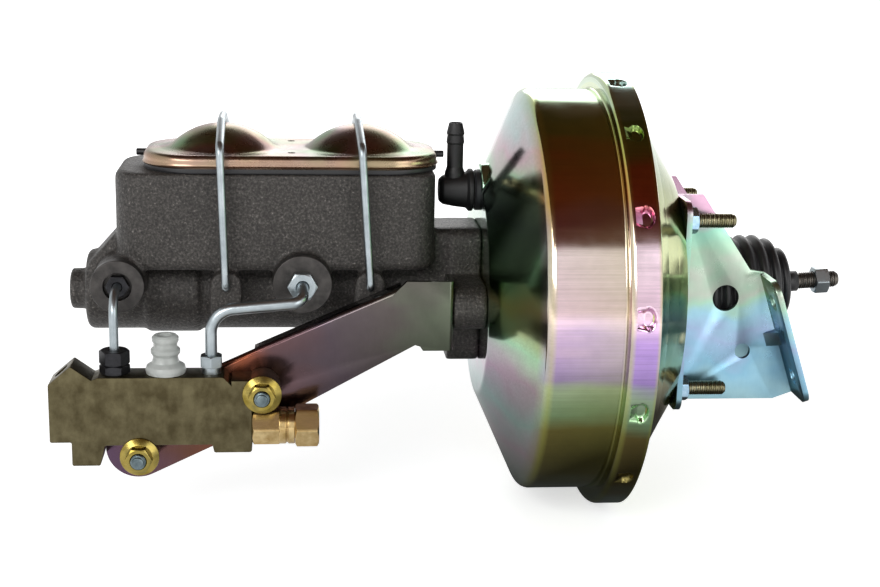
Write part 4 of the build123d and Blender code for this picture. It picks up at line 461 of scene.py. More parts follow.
SLOT_FINISHES: dict[Slot, Finish] = {
    # The shell keeps the default stops, whose pale and dark bands are partly painted reflection.
    Slot.SHELL: Dichromate(
        "dichromate_shell_with_painted_reflection",
        nose_stops=(
            (0.06, "#A9C4C0"), (0.18, "#B99FB4"), (0.26, "#93B4B2"), (0.36, "#A88FA4"),
            (0.46, "#9CC8A8"), (0.54, "#A8A468"), (0.62, "#7CA67A"), (0.74, "#749284"),
            (0.82, "#9CBCA0"), (0.88, "#C3A6B6"), (0.95, "#A9C6CC"),
        ),
    ),
    Slot.BRACKET: Dichromate(
        "dichromate_zinc_bracket",
        roughness=0.3,
        patch_mm=(30.0, 60.0, 20.0),
        span_mm=(-62.0, 62.0),
        drift_mm=15.0,
        draw_mm=(0.9, 0.9, 7.0),
        depth_mm=0.006,
        draw_shade=0.96,
        stops=(
            (0.05, "#9CC2CC"), (0.20, "#84B0C6"), (0.32, "#92A6C2"), (0.42, "#8FB6C6"),
            (0.52, "#98BAA6"), (0.60, "#A6AEA2"), (0.70, "#96B49E"), (0.82, "#88B8A4"),
            (0.95, "#B08EA2"),
        ),
    ),
    Slot.FASTENER: Dichromate(
        "dichromate_zinc_fastener", roughness=0.24, patch_mm=(9.0, 9.0, 9.0), span_mm=None,
        stops=((0.32, "#8C7A34"), (0.50, "#A4924E"), (0.66, "#7F7442")),
    ),
    Slot.COVER: Dichromate(
        "dichromate_zinc_cover",
        roughness=0.27,
        patch_mm=(46.0, 38.0, 20.0),
        span_mm=None,
        stops=(
            (0.32, "#5C7A50"), (0.42, "#7C7A58"), (0.50, "#8C6E60"), (0.58, "#86706E"),
            (0.68, "#5F7650"),
        ),
        gold="#B99C84",
        film_share=0.6,
    ),
    Slot.ZINC: Metal(
        "bright_zinc", 1.0, 0.32, dark="#8D969A", light="#A6AEB2", tone_mm=(12.0, 12.0, 12.0)
    ),
    Slot.BLACK_STEEL: Metal("black_oxide_steel", 0.8, 0.42, dark="#1C1C1E", light="#343437"),
    Slot.SPRING: Metal("oiled_spring_steel", dark="#5A5B5E", light="#77787B"),
    Slot.CASTING: Casting("sand_cast_iron"),
    Slot.RUBBER: Moulded("black_rubber", roughness=0.45, sheen=0.1),
    Slot.PLASTIC: Moulded("black_nylon", 0.0, 0.55, dark="#060607", light="#0E0E10", skin_mm=0.5),
    Slot.NATURAL: Moulded(
        "natural_nylon", 0.0, 0.34, dark="#C2C6C2", light="#DCDFDB", transmission=0.35, ior=1.53
    ),
    Slot.BRASS: Metal(
        "dull_sawn_brass", roughness=0.4, dark="#463F2C", light="#625B44", tone_mm=(7.0, 7.0, 9.0),
        mark_mm=(14.0, 0.35, 0.35), depth_mm=0.05, strength=0.6,
    ),
    Slot.ALLOY: Metal("turned_alloy", dark="#A9ABAD", light="#C6C8CA"),
    Slot.FELT: Moulded("filter_felt", 0.0, 0.95, dark="#5B5850", light="#79756B", sheen=0.3),
}


class Finishes:
    """Every finish of the part, made once and handed out by slot or by name."""

    def __init__(self) -> None:
        """Make all the materials."""
        self.by_slot = {slot: finish.material() for slot, finish in SLOT_FINISHES.items()}
        self.machined_iron = Metal(
            "machined_iron", 0.7, 0.42, dark="#302E2D", light="#464341", mark_mm=(3.0, 0.3, 0.3)
        ).material()
        self.bright_brass, self.stud_thread, self.blued_zinc, self.bolt_end = (
            Metal(name, 1.0, rough, dark=dark, light=light).material()
            for name, rough, dark, light in (
                ("bright_turned_brass", 0.2, "#A68A58", "#D0B888"),
                ("yellow_zinc_thread", 0.3, "#6F6A50", "#9A9478"),
                ("blue_white_zinc", 0.24, "#8FB3CC", "#B9D3E4"),
                ("grey_zinc_bolt", 0.28, "#4C585C", "#7C8A8E"),
            )
        )
        self.dark_rod = Metal("rod_steel", 0.9, 0.36, dark="#4C4844", light="#6A655E").material()
        self.arm = Dichromate(
            "dichromate_zinc_arm",
            roughness=0.22,
            patch_mm=(40.0, 40.0, 16.0),
            axis=0,
            span_mm=(-330.0, -120.0),
            drift_mm=12.0,
            draw_mm=(0.9, 0.9, 7.0),
            draw_shade=0.95,
            stops=(
                (0.10, "#5A4658"), (0.30, "#62443A"), (0.42, "#7C4632"), (0.52, "#5C4648"),
                (0.66, "#52484E"), (0.82, "#56504E"), (0.95, "#5C6254"),
            ),
        ).material()
        self.rear_shell = Dichromate(
            "dichromate_zinc_rear_shell",
            stops=(
                (0.06, "#9FB27C"), (0.28, "#B9A650"), (0.45, "#BFC88E"), (0.62, "#CDD492"),
                (0.80, "#9DA860"), (0.94, "#9CBBA6"),
            ),
        ).material()

    def of(self, slot: Slot) -> Any:
        """The material of a record slot."""
        return self.by_slot[slot]


# ---------------------------------------------------------------- outlines


def round_corners(corners: Corners, closed: bool, step: float = 9.0) -> list[Vector]:
    """Replace corners by arcs.

    Args:
        corners: Points as (x, y, radius) or (x, y, z, radius).
        closed: Whether the last point joins the first.
        step: Degrees turned between two points of an arc.

    Returns:
        Points of the rounded line, as 3-D vectors.
    """
    points = [Vector((*c[:-1], 0.0)) if len(c) == 3 else Vector(c[:-1]) for c in corners]
    count = len(points)
    line: list[Vector] = []
    for i, (point, radius) in enumerate(zip(points, (c[-1] for c in corners))):
        back = points[(i - 1) % count] - point
        on = points[(i + 1) % count] - point
        inner = (closed or 0 < i < count - 1) and radius > 0
        opening = back.angle(on) if inner else pi
        if opening > pi - 1e-3:
            line.append(point)
            continue
        reach = min(radius / tan(opening / 2), 0.499 * back.length, 0.499 * on.length)
        radius = reach * tan(opening / 2)
        inward = (back.normalized() + on.normalized()).normalized()
        centre = point + inward * (radius / sin(opening / 2))
        first = point + back.normalized() * reach - centre
        last = point + on.normalized() * reach - centre
        sweep = pi - opening
        side = (last - first * cos(sweep)) / sin(sweep)
        steps = max(2, ceil(sweep / radians(step)))
        for k in range(steps + 1):
            angle = sweep * k / steps
            line.append(centre + first * cos(angle) + side * sin(angle))
    return line


def sheet_section(path: Corners, thickness: float, step: float = 9.0) -> list[Vector]:
    """Outline of a sheet that follows a rounded path, with turned edges.

    Args:
        path: Middle line of the sheet as (along, r, bend radius).
        thickness: Sheet thickness.
        step: Degrees between two points of a bend.

    Returns:
        Closed outline of the sheet.
    """
    middle = round_corners(path, False, step)
    half = thickness / 2
    left: list[Vector] = []
    right: list[Vector] = []
    for i, point in enumerate(middle):
        run = (middle[min(i + 1, len(middle) - 1)] - middle[max(i - 1, 0)]).normalized()
        normal = Vector((-run.y, run.x, 0.0))
        left.append(point + normal * half)
        right.append(point - normal * half)
    start = middle[0] + (middle[0] - middle[1]).normalized() * half * 0.45
    end = middle[-1] + (middle[-1] - middle[-2]).normalized() * half * 0.45
    return left + [end] + right[::-1] + [start]


def circle_points(radius: float, centre: Pair, count: int) -> list[Vector]:
    """Points of a circle in a plane."""
    angles = [2 * pi * i / count for i in range(count)]
    return [Vector((centre[0] + radius * cos(a), centre[1] + radius * sin(a), 0)) for a in angles]


def rectangle(low: Pair, high: Pair, *radii: float) -> list[Triple]:
    """Corners of a rectangle, anticlockwise from the low one. One radius serves all four."""
    spots = ((low[0], low[1]), (high[0], low[1]), (high[0], high[1]), (low[0], high[1]))
    return [(x, y, radii[k % len(radii)]) for k, (x, y) in enumerate(spots)]


def hexagon(flats: float, corner_r: float = 0.5, per_side: int = 8) -> list[Vector]:
    """Rounded hexagon with extra points along each flat, one corner on its x axis.

    Args:
        flats: Width across flats.
        corner_r: Radius of the worn corner.
        per_side: Pieces that each flat is divided into.

    Returns:
        Points of the closed outline.
    """
    corner = flats / sqrt(3)
    tips = [(corner * cos(pi / 3 * k), corner * sin(pi / 3 * k), corner_r) for k in range(6)]
    line = round_corners(tips, True, 20.0)
    fine: list[Vector] = []
    for a, b in zip(line, line[1:] + line[:1]):
        fine.append(a)
        if (b - a).length > flats / 5:
            fine += [a.lerp(b, k / per_side) for k in range(1, per_side)]
    return fine


def nearness(value: float, centre: float, width: float) -> float:
    """One at a place, falling to zero at a distance from it."""
    return max(0.0, 1 - abs(value - centre) / width)


# ---------------------------------------------------------------- work planes and meshes


@dataclass(frozen=True)
class Bench:
    """A work plane in millimetres, with its own x and z directions."""

    origin: Triple = (0.0, 0.0, 0.0)
    x_dir: Triple = (1.0, 0.0, 0.0)
    z_dir: Triple = (0.0, -1.0, 0.0)

    def matrix(self) -> Matrix:
        """Matrix from the plane's own millimetres to the part's millimetres."""
        z = Vector(self.z_dir).normalized()
        x = Vector(self.x_dir)
        x = (x - z * x.dot(z)).normalized()
        turned = Matrix((x, z.cross(x), z)).transposed().to_4x4()
        turned.translation = Vector(self.origin)
        return turned


def at(way: Way, x: float = 0.0, y: float = 0.0, z: float = 0.0) -> Bench:
    """Work plane at a place, standing in one of the usual ways."""
    return Bench((x, y, z), *way.value)


class Shape:
    """A mesh in the making, in the part's millimetres."""

    def __init__(self) -> None:
        """Start with nothing."""
        self.points: list[Vector] = []
        self.faces: list[tuple[int, ...]] = []
        self.film: list[float] = []

    def put(self, bench: Bench, points: Sequence[Any], faces: Sequence[Sequence[int]]) -> "Shape":
        """Add points and faces.

        Args:
            bench: Plane that the points are given in.
            points: Points in the plane's own millimetres.
            faces: Faces, as numbers of these points.

        Returns:
            This shape.
        """
        start = len(self.points)
        matrix = bench.matrix()
        self.points += [matrix @ Vector(p) for p in points]
        self.faces += [tuple(start + i for i in f) for f in faces]
        self.film += [0.0] * (len(self.points) - len(self.film))
        return self

    def lathe(
        self, bench: Bench, outline: Sequence[Vector], closed: bool, segments: int
    ) -> "Shape":
        """Turn an (along, r) outline about the plane's x axis.

        Args:
            bench: Plane whose x axis is the turning axis.
            outline: Points of the outline; an open one starts and ends on the axis.
            closed: Whether the outline is a loop away from the axis.
            segments: Steps around the axis.

        Returns:
            This shape.
        """
        points: list[Vector] = []
        rows: list[list[int]] = []
        angles = [2 * pi * k / segments for k in range(segments)]
        for p in outline:
            if abs(p.y) < 1e-4:
                rows.append([len(points)])
                points.append(Vector((p.x, 0, 0)))
            else:
                rows.append([len(points) + k for k in range(segments)])
                points += [Vector((p.x, p.y * cos(a), p.y * sin(a))) for a in angles]
        faces: list[list[int]] = []
        for low, high in zip(rows, rows[1:] + (rows[:1] if closed else [])):
            if len(low) == len(high) == 1:
                continue
            for k in range(segments):
                n = (k + 1) % segments
                foot = low if len(low) == 1 else [low[k], low[n]]
                head = high if len(high) == 1 else [high[n], high[k]]
                faces.append([*foot, *(head[::-1] if len(low) == 1 else head)])
        return self.put(bench, points, faces)

    def turn(
        self,
        bench: Bench,
        corners: Corners,
        segments: int,
        closed: bool = False,
        step: float = 9.0,
    ) -> "Shape":
        """Turn an outline of (along, r, corner radius) about the plane's x axis."""
        return self.lathe(bench, round_corners(corners, closed, step), closed, segments)

    def rings(self, bench: Bench, levels: Sequence[Sequence[Vector]], closed: bool) -> "Shape":
        """Join rings of equal point counts.

        Args:
            bench: Plane that the rings are given in.
            levels: The rings in order.
            closed: Whether the last ring joins the first; otherwise both ends are capped.

        Returns:
            This shape.
        """
        count = len(levels[0])
        points = [p for level in levels for p in level]
        faces: list[list[int]] = []
        for row in range(len(levels) if closed else len(levels) - 1):
            low = row * count
            high = ((row + 1) % len(levels)) * count
            turns = [(k, (k + 1) % count) for k in range(count)]
            faces += [[low + k, low + n, high + n, high + k] for k, n in turns]
        if not closed:
            faces += [list(range(count)), [len(points) - count + k for k in range(count)]]
        return self.put(bench, points, faces)

    def hex_nut(self, bench: Bench, flats: float, height: float, bore: float = 0.0) -> "Shape":
        """Hexagon nut with turned corners and a countersunk bore.

        Args:
            bench: Plane that the nut stands on.
            flats: Width across flats.
            height: Thickness.
            bore: Radius of the bore; zero gives a solid head.

        Returns:
            This shape.
        """
        shoulder = flats / 2 * 0.97
        sink = 0.5
        levels: list[list[Vector]] = [[] for _ in range(8)]
        for p in hexagon(flats):
            reach = p.length
            unit = p / reach
            edge = max(0.12, (reach - shoulder) * tan(radians(30)))
            rim = unit * min(shoulder, reach - 0.1)
            hole = unit * max(bore, 0.01)
            lip = unit * (bore + sink) if bore else unit * 0.02
            flats_up = (hole, lip, rim, p, p, rim, lip, hole)
            heights = (sink, 0.0, 0.0, edge, height - edge, height, height, height - sink)
            for level, flat, z in zip(levels, flats_up, heights):
                level.append(Vector((flat.x, flat.y, z)))
        return self.rings(bench, levels if bore else levels[1:7], bool(bore))

    def tube(self, line: Sequence[Vector], radius: float, sides: int) -> "Shape":
        """Sweep a circle along a line of points.

        Args:
            line: Middle line in the part's millimetres.
            radius: Radius of the wire or tube.
            sides: Points around it.

        Returns:
            This shape.
        """
        runs = [(b - a).normalized() for a, b in zip(line, line[1:])]
        tangents = [runs[0]] + [(a + b).normalized() for a, b in zip(runs, runs[1:])] + [runs[-1]]
        side = tangents[0].orthogonal().normalized()
        rings: list[list[Vector]] = []
        previous = tangents[0]
        angles = [2 * pi * k / sides for k in range(sides)]
        for point, tangent in zip(line, tangents):
            side = previous.rotation_difference(tangent) @ side
            side = (side - tangent * side.dot(tangent)).normalized()
            other = tangent.cross(side)
            rings.append([point + (side * cos(a) + other * sin(a)) * radius for a in angles])
            previous = tangent
        return self.rings(at(Way.UP), rings, False)

    def plate(
        self, bench: Bench, loops: Sequence[Sequence[Vector]], depth: float, edge: float
    ) -> "Shape":
        """Add a plate cut to an outline with holes, its edges broken by a small round.

        Args:
            bench: Plane of the plate's first face; the plate grows along its z.
            loops: Outline first, then the holes.
            depth: Thickness.
            edge: Radius of the broken edges.

        Returns:
            This shape.
        """
        curve = bpy.data.curves.new("plate_stock", "CURVE")
        curve.dimensions = "2D"
        curve.fill_mode = "BOTH"
        curve.extrude = depth / 2 - edge
        curve.bevel_depth = edge
        curve.bevel_resolution = 2
        curve.offset = -edge
        for loop in loops:
            spline = curve.splines.new("POLY")
            spline.points.add(len(loop) - 1)
            for point, place in zip(spline.points, loop):
                point.co = (place.x, place.y, 0.0, 1.0)
            spline.use_cyclic_u = True
        mesh = taken(linked("plate_stock", curve))
        points = [Vector((v.co.x, v.co.y, v.co.z + depth / 2)) for v in mesh.vertices]
        self.put(bench, points, [list(p.vertices) for p in mesh.polygons])
        bpy.data.meshes.remove(mesh)
        return self

    def block(self, bench: Bench, corners: Corners, depth: float, edge: float) -> "Shape":
        """Add a plate without holes, given by its rounded corners."""
        return self.plate(bench, [round_corners(corners, True)], depth, edge)

    def shade_film(self, rule: Callable[[Vector], float]) -> "Shape":
        """Set the film value of every point by a rule of its place in millimetres."""
        self.film = [rule(p) for p in self.points]
        return self

    def finish(self, name: str, material: Any, sharp: float = 32.0) -> Any:
        """Write the mesh as an object at the origin.

        Args:
            name: Name of the object.
            material: Material for all of it.
            sharp: Degrees above which an edge stays sharp.

        Returns:
            The Blender object.
        """
        mesh = bpy.data.meshes.new(name)
        mesh.from_pydata([tuple(p * MM) for p in self.points], [], self.faces)
        mesh.attributes.new("film", "FLOAT", "POINT").data.foreach_set("value", self.film)
        return dress(name, mesh, material, sharp)


def linked(name: str, data: Any) -> Any:
    """Make an object from a data block and link it to the scene."""
    piece = bpy.data.objects.new(name, data)
    bpy.context.scene.collection.objects.link(piece)
    return piece


def taken(piece: Any) -> Any:
    """Apply the modifiers of an object, and remove the object and its old data.

    Args:
        piece: Object with its modifiers.

    Returns:
        The resulting mesh.
    """
    graph = bpy.context.evaluated_depsgraph_get()
    graph.update()
    mesh = bpy.data.meshes.new_from_object(piece.evaluated_get(graph))
    bpy.data.batch_remove((piece, piece.data))
    return mesh


def cleaned(mesh: Any, merge: float, flatten: bool = False) -> None:
    """Merge the near points of a mesh and turn its faces outward.

    Args:
        mesh: Mesh in metres.
        merge: Distance under which points are merged.
        flatten: Whether faces that lie in one plane become one.
    """
    work = bmesh.new()
    work.from_mesh(mesh)
    bmesh.ops.remove_doubles(work, verts=work.verts, dist=merge)
    if flatten:
        bmesh.ops.dissolve_limit(
            work, angle_limit=radians(0.6), verts=work.verts, edges=work.edges,
            use_dissolve_boundaries=False,
        )
    bmesh.ops.recalc_face_normals(work, faces=work.faces)
    work.to_mesh(mesh)
    work.free()


def dress(name: str, mesh: Any, material: Any, sharp: float) -> Any:
    """Clean a mesh, shade it and link it as an object with one material.

    Args:
        name: Object name.
        mesh: Mesh in metres.
        material: Material for all of it.
        sharp: Degrees above which an edge stays sharp.

    Returns:
        The Blender object.
    """
    cleaned(mesh, 1e-6)
    mesh.materials.clear()
    mesh.materials.append(material)
    mesh.shade_smooth()
    mesh.set_sharp_from_angle(angle=radians(sharp))
    return linked(name, mesh)


def settle(piece: Any, body: Body, slot: Slot, replaced: Sequence[str] = ()) -> Any:
    """Hand a finished piece to the frame and report it.

    Args:
        piece: Finished object at the origin.
        body: Body that it rides on.
        slot: Record slot that it takes its finish from; not used here.
        replaced: CAD nodes that it stands for.

    Returns:
        The same object.
    """
    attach(piece, body.value)
    if replaced:
        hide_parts(*replaced)
    LOG.info("%s: %d faces on %s", piece.name, len(piece.data.polygons), body.value)
    return piece


def drilled(
    name: str, stock: Shape, drill: Shape, material: Any, sharp: float, sheet: float = 0.0
) -> Any:
    """Bore a stock with a drill and dress what is left.

    Args:
        name: Name of the object.
        stock: Closed stock, or the open skin of a sheet.
        drill: Closed form of all the bores.
        material: Material for all of it.
        sharp: Degrees above which an edge stays sharp.
        sheet: Thickness that an open skin is given first.

    Returns:
        The Blender object.
    """
    piece = stock.finish(f"{name}_stock", material, sharp)
    if sheet:
        skin = piece.modifiers.new("sheet", "SOLIDIFY")
        skin.thickness = sheet * MM
        skin.offset = -1.0
        skin.use_even_offset = False
    tool = drill.finish("drill", material)
    cut = piece.modifiers.new("bores", "BOOLEAN")
    cut.operation = "DIFFERENCE"
    cut.object = tool
    cut.solver = "EXACT"
    cut.use_self = not sheet
    mesh = taken(piece)
    bpy.data.objects.remove(tool)
    return dress(name, mesh, material, sharp)


def softened(node: str, name: str, material: Any, edge: float = 0.35) -> Any:
    """Copy of a CAD node with flat faces merged and its edges broken.

    Args:
        node: CAD node to copy.
        name: Name of the new object.
        material: Material for it.
        edge: Radius of the broken edges in millimetres.

    Returns:
        The new object.
    """
    source = frame["nodes"][node]
    mesh = source.data.copy()
    mesh.transform(source.matrix_world)
    cleaned(mesh, 2e-6, True)
    for layer in list(mesh.color_attributes):
        mesh.color_attributes.remove(layer)
    piece = linked(name, mesh)
    bevel = piece.modifiers.new("broken_edges", "BEVEL")
    bevel.width = edge * MM
    bevel.segments = 2
    bevel.limit_method = "ANGLE"
    bevel.angle_limit = radians(38)
    bevel.use_clamp_overlap = True
    return dress(name, taken(piece), material, 30.0)


# ---------------------------------------------------------------- repeated forms by nodes


class NodeTool:
    """A geometry node tree that makes one repeated form."""

    def __init__(self, name: str, labels: Sequence[str], finish: Any) -> None:
        """Open the tree with its named inputs.

        Args:
            name: Name of the tree.
            labels: Names of its number inputs, in metres or plain.
            finish: Material of what it makes.
        """
        self.finish = finish
        self.tree = bpy.data.node_groups.new(name, "GeometryNodeTree")
        sockets = [("Geometry", "Geometry", "INPUT"), ("Geometry", "Geometry", "OUTPUT")]
        sockets += [(label, "Float", "INPUT") for label in labels]
        sockets.append(("Finish", "Material", "INPUT"))
        for label, kind, side in sockets:
            self.tree.interface.new_socket(label, in_out=side, socket_type=f"NodeSocket{kind}")
        self.source = add_node(self.tree, "NodeGroupInput")

    def value(self, label: str) -> Any:
        """Output socket of a named input."""
        return self.source.outputs[label]

    def node(self, kind: str, inputs: dict[Any, Any] | None = None, **settings: Any) -> Any:
        """Add a node and give its first output."""
        return add_node(self.tree, kind, inputs, **settings).outputs[0]

    def math(self, operation: str, *values: Any) -> Any:
        """Add a math node and give its result."""
        return calc(self.tree, operation, *values)

    def lifted(self, geometry: Any, height: Any) -> Any:
        """Geometry moved up by a height."""
        offset = self.node("ShaderNodeCombineXYZ", {2: height})
        return self.node("GeometryNodeTransform", {"Geometry": geometry, "Translation": offset})

    def close(self, geometry: Any) -> None:
        """End the tree in real geometry with the finish set."""
        real = self.node("GeometryNodeRealizeInstances", {"Geometry": geometry})
        worn = {"Geometry": real, "Material": self.value("Finish")}
        add_node(self.tree, "NodeGroupOutput", {0: self.node("GeometryNodeSetMaterial", worn)})

    def run(self, mesh: Any, sizes: dict[str, float]) -> Any:
        """Run the tree on a mesh.

        Args:
            mesh: Mesh that the tree starts from.
            sizes: Values of the named inputs.

        Returns:
            The made mesh, free of modifiers.
        """
        holder = linked(self.tree.name, mesh)
        modifier = holder.modifiers.new(self.tree.name, "NODES")
        modifier.node_group = self.tree
        values = {**sizes, "Finish": self.finish}
        for item in self.tree.interface.items_tree:
            if item.in_out == "INPUT" and item.name in values:
                modifier[item.identifier] = values[item.name]
        return taken(holder)


class ThreadTool(NodeTool):
    """Screw thread: a core with a rounded ridge wound along it."""

    def __init__(self, finish: Any) -> None:
        """Build the tree."""
        super().__init__("screw_thread", ("Radius", "Pitch", "Length"), finish)
        radius, pitch, length = (self.value(label) for label in ("Radius", "Pitch", "Length"))
        depth = self.math("MULTIPLY", pitch, 0.42)
        ridge_r = self.math("SUBTRACT", radius, self.math("MULTIPLY", depth, 0.95))
        winding = self.math("SUBTRACT", length, pitch)
        turns = self.math("DIVIDE", winding, pitch)
        spiral = {"Resolution": 28, "Rotations": turns, "Height": winding}
        spiral |= {"Start Radius": ridge_r, "End Radius": ridge_r}
        section = {"Resolution": 8, "Radius": depth}
        wound = self.node(
            "GeometryNodeCurveToMesh",
            {
                "Curve": self.node("GeometryNodeCurveSpiral", spiral),
                "Profile Curve": self.node(
                    "GeometryNodeCurvePrimitiveCircle", section, mode="RADIUS"
                ),
                "Fill Caps": True,
            },
        )
        core = {"Vertices": 32, "Side Segments": 1, "Depth": length}
        core["Radius"] = self.math("SUBTRACT", radius, depth)
        both = add_node(self.tree, "GeometryNodeJoinGeometry")
        ridge = self.lifted(wound, self.math("MULTIPLY", pitch, 0.5))
        stem = self.lifted(
            self.node("GeometryNodeMeshCylinder", core), self.math("MULTIPLY", length, 0.5)
        )
        for part in (ridge, stem):
            self.tree.links.new(part, both.inputs[0])
        self.close(both.outputs[0])

    def cut(
        self, shape: Shape, bench: Bench, radius: float, length: float, pitch: float = THREAD_PITCH
    ) -> None:
        """Add a thread that stands on a plane.

        Args:
            shape: Shape that gets the thread.
            bench: Plane at the thread's start, whose z is the screw's axis.
            radius: Radius over the crests.
            length: Length.
            pitch: Pitch.
        """
        sizes = {"Radius": radius * MM, "Pitch": pitch * MM, "Length": length * MM}
        mesh = self.run(bpy.data.meshes.new("thread_stock"), sizes)
        points = [Vector(v.co) / MM for v in mesh.vertices]
        shape.put(bench, points, [list(p.vertices) for p in mesh.polygons])
        bpy.data.meshes.remove(mesh)


class LanceTool(NodeTool):
    """Lances pressed into a rim at even steps, each a steep dent with a soft mouth."""

    def __init__(self, finish: Any) -> None:
        """Build the tree."""
        labels = ("Count", "Start", "Place", "Width", "Half Length", "Depth", "Rim")
        super().__init__("rim_lances", labels, finish)
        count, start, place, width, half_length, depth, rim = map(self.value, labels)
        math = self.math
        position = self.node("GeometryNodeInputPosition")
        x, y, z = add_node(self.tree, "ShaderNodeSeparateXYZ", {0: position}).outputs
        step = math("DIVIDE", 2 * pi, count)
        shifted = math("SUBTRACT", math("ARCTAN2", z, y), start)
        half_step = math("MULTIPLY", step, 0.5)
        wrapped = math("WRAP", shifted, half_step, math("MULTIPLY", step, -0.5))
        u = math("DIVIDE", math("MULTIPLY", wrapped, rim), half_length)
        v = math("DIVIDE", math("SUBTRACT", x, place), width)
        reach, radius = (
            math("SQRT", math("ADD", math("POWER", a, 2.0), math("POWER", b, 2.0)))
            for a, b in ((u, v), (y, z))
        )
        fall = self.node(
            "ShaderNodeMapRange",
            {"Value": reach, "From Min": 0.62, "From Max": 1.0, "To Min": 1.0, "To Max": 0.0},
            interpolation_type="SMOOTHSTEP",
        )
        low, high = math("SUBTRACT", rim, 0.0045), math("SUBTRACT", rim, 0.003)
        outer = spread(self.tree, radius, low, high, 0.0, 1.0)
        inward = math("MULTIPLY", math("MULTIPLY", math("MULTIPLY", fall, depth), outer), -1.0)
        units = {k: math("DIVIDE", side, radius) for k, side in ((1, y), (2, z))}
        shift = {k: math("MULTIPLY", unit, inward) for k, unit in units.items()}
        offset = self.node("ShaderNodeCombineXYZ", shift)
        moved = {"Geometry": self.value("Geometry"), "Offset": offset}
        self.close(self.node("GeometryNodeSetPosition", moved))


@dataclass
class Assembly:
    """Common part of the sub-assemblies: their finishes, threads and hand-over."""

    finishes: Finishes
    thread: ThreadTool

    def hand_over(
        self,
        shape: Shape,
        name: str,
        slot: Slot,
        node: str = "",
        sharp: float = 32.0,
        finish: Any = None,
        body: Body = Body.HOUSING,
    ) -> None:
        """Finish a shape and hand it to the frame.

        Args:
            shape: Shape of the piece.
            name: Name of the piece.
            slot: Record slot, which gives the material unless another is given.
            node: CAD node that the piece stands for.
            sharp: Degrees above which an edge stays sharp.
            finish: Material in place of the slot's.
            body: Body that it rides on.
        """
        piece = shape.finish(name, finish or self.finishes.of(slot), sharp)
        settle(piece, body, slot, [node] if node else ())

    def build(self) -> None:
        """Build every piece of the sub-assembly."""
        raise NotImplementedError


# ---------------------------------------------------------------- the booster


